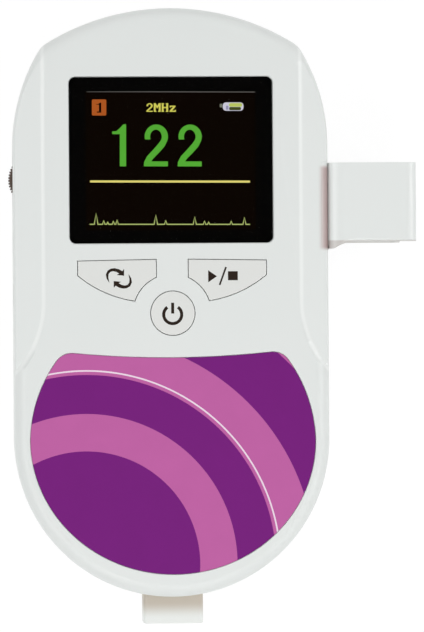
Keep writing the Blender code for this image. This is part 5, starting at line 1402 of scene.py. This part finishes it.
# %% [markdown]
# ## Parts inside
# Board, battery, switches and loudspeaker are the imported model's own solids. Their shapes are
# right, so they stay, and only get materials: black nylon for what is moulded, plating for what
# is metal, solder mask, shrink sleeve, foam and paper for the rest.


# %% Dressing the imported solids
def dress(material, *names):
    """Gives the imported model's own nodes a material."""
    for name in names:
        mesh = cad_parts[name].data
        mesh.materials.clear()
        mesh.materials.append(material)
    print(material.name, "on", len(names), "nodes")


nylon = two_tone("nylon_black_moulded", "#121213", "#202022", 0.42, 0.6, 0.004)
dress(nylon, "contact_block", "volume_pot", "earphone_socket", "charge_socket", "port_insert")
switch_plastic = two_tone("liquid_crystal_polymer_black", "#19191A", "#242425", 0.5, 0.8, 0.003)
dress(
    switch_plastic,
    *[key.replace("key", part) for key in SWITCHES for part in ("switch", "plunger")],
)
abs_black = two_tone("abs_black_moulded", "#111112", "#1B1B1C", 0.5, 0.5, 0.005)
dress(abs_black, "display_frame")
polariser = two_tone("display_polariser_black", "#040405", "#07070A", 0.3, 5)
dress(polariser, "display_module")

gold = plated("bronze_gold_plated", "#E3C071", "#C99F4C", 0.24, 0.8)
dress(
    gold,
    *["port_contact_%d" % (n + 1) for n in range(6)],
    *["battery_contact_%d" % (n + 1) for n in range(3)],
)
dress(zinc, "board_screw_1", "board_screw_2", "board_screw_3")
dress(zinc, "clip_screw_1", "clip_screw_2", "wheel_screw")
dress(plated("steel_pressed_bright", "#A9A9AB", "#88888C", 0.35, 2), "speaker_basket")
dress(plated("magnet_pot_nickel_plated", "#8C8A86", "#6E6C69", 0.3, 2.5), "speaker_magnet")
for node, settings in {
    "speaker_gasket": ("gasket_foam_open_cell", "#1B1B1C", "#060607", 0.95, 0.4, 0.12),
    "speaker_cone": ("cone_paper_coated", "#141312", "#22201E", 0.8, 0.5, 0.04),
    "battery_pack": ("battery_sleeve_pvc_blue", "#1E4C92", "#2A5CA6", 0.28, 7, 0.12),
    "main_board": ("solder_mask_green_gloss", "#12552B", "#1C6B38", 0.25, 1.8, 0.02),
}.items():
    dress(two_tone(*settings), node)

# %% [markdown]
# ## The camera
# The photograph looks straight down on the unit from a good distance, from slightly left of
# it, and the unit leans a little to the left in the picture. The frame is 424 by 632 pixels,
# and one pixel is 0.2413 mm on the face of the unit, which sets the lens for the distance.

# %% Camera
FRAME_WIDTH, DISTANCE, AIM, ASIDE, LEAN = 102.33, 1000, (9.75, -3.34, 26), 59.2, 0.4
SENSOR = 36
bpy.ops.object.select_all(action="DESELECT")
bpy.ops.object.camera_add()
camera = bpy.context.object
camera.name = "camera"
camera.data.sensor_fit = "HORIZONTAL"
camera.data.sensor_width = SENSOR
camera.data.lens = SENSOR * DISTANCE / FRAME_WIDTH
camera.data.clip_start = 0.01
rise = math.sqrt(DISTANCE**2 - ASIDE**2)
camera.location = ((AIM[0] - ASIDE) * MM, AIM[1] * MM, (AIM[2] + rise) * MM)
yaw = math.asin(ASIDE / DISTANCE)
camera.rotation_mode = "ZYX"
camera.rotation_euler = (0, -yaw, math.radians(-LEAN))
bpy.context.scene.camera = camera
print("lens", round(camera.data.lens, 1), "mm")

# %% [markdown]
# ## Light and floor
# The picture is a plain product shot: soft light from all round and a white ground. The world
# gives the even light, like the white walls of a light tent: stronger from the sides than
# from above, so that rounded rims look lighter than the face. Two strip lamps at the sides
# draw thin lines of light along rounded edges, and two weaker soft boxes do so at the foot
# and the crown. The floor is matt white and keeps the unit's soft shadow. For the camera and
# for reflections it is lifted to paper white, as the world is.

# %% World
world = bpy.data.worlds.new("soft_studio")
bpy.context.scene.world = world
world.use_nodes = True
sky = world.node_tree.nodes["Background"]
sky.inputs["Color"].default_value = (1, 1, 1, 1)
SEEN_STRENGTH, ZENITH_STRENGTH, HORIZON_STRENGTH = 1.0, 0.2, 0.95


def seen(owner):
    """An output that is 1 for what the camera, a reflection or a clear pane shows."""
    path = add_node(owner, "ShaderNodeLightPath")
    mirror = add_node(
        owner,
        "ShaderNodeMath",
        {"operation": "MAXIMUM"},
        {0: path.outputs["Is Camera Ray"], 1: path.outputs["Is Glossy Ray"]},
    )
    return add_node(
        owner,
        "ShaderNodeMath",
        {"operation": "MAXIMUM"},
        {0: mirror.outputs[0], 1: path.outputs["Is Transmission Ray"]},
    ).outputs[0]


direction = add_node(world, "ShaderNodeTexCoord").outputs["Generated"]
height = add_node(world, "ShaderNodeSeparateXYZ", {}, {"Vector": direction})
tent = add_node(
    world,
    "ShaderNodeMapRange",
    {"To Min": HORIZON_STRENGTH, "To Max": ZENITH_STRENGTH},
    {"Value": height.outputs["Z"]},
)
strength = add_node(
    world,
    "ShaderNodeMapRange",
    {"To Max": SEEN_STRENGTH},
    {"Value": seen(world), "To Min": tent.outputs["Result"]},
)
world.node_tree.links.new(strength.outputs["Result"], sky.inputs["Strength"])


# %% Lamps
def lamp(name, place, across, along, watts):
    """An oblong soft box that faces the unit."""
    bpy.ops.object.select_all(action="DESELECT")
    bpy.ops.object.light_add(type="AREA", location=[c * MM for c in place])
    made = bpy.context.object
    made.name = name
    made.data.shape = "RECTANGLE"
    made.data.size, made.data.size_y = across * MM, along * MM
    made.data.energy = watts
    x, y, z = place
    made.rotation_euler = (math.atan2(math.hypot(x, y), z), 0, math.atan2(y, x) + math.pi / 2)
    return made


STRIP, SOFT_BOX = (900, 130), (500, 200)
lamp("strip_left", (-600, 0, 800), *STRIP, 1.85)
lamp("strip_right", (720, 0, 690), *STRIP, 2.1)
lamp("soft_box_foot", (0, -330, 500), *SOFT_BOX, 0.75)
lamp("soft_box_crown", (0, 700, 600), *SOFT_BOX, 0.55)

# %% Floor
bpy.ops.object.select_all(action="DESELECT")
bpy.ops.mesh.primitive_plane_add(size=6, location=(0, 0, -0.00005))
floor = settled("floor")
LIFT, LIFT_SHARE = 1.06, 0.86
paper, paper_shader, place = new_material("matt_white_paper", "#F2F2F2", 0.9)
glow = add_node(paper, "ShaderNodeEmission", {"Color": (1, 1, 1, 1), "Strength": LIFT})
share = add_node(
    paper, "ShaderNodeMath", {"operation": "MULTIPLY", 1: LIFT_SHARE}, {0: seen(paper)}
)
mixed = add_node(
    paper,
    "ShaderNodeMixShader",
    {},
    {0: share.outputs[0], 1: paper_shader.outputs[0], 2: glow.outputs[0]},
)
paper.node_tree.links.new(
    mixed.outputs[0], paper.node_tree.nodes["Material Output"].inputs["Surface"]
)
floor.data.materials.append(paper)

# %% Colour management
bpy.context.scene.view_settings.view_transform = "Standard"
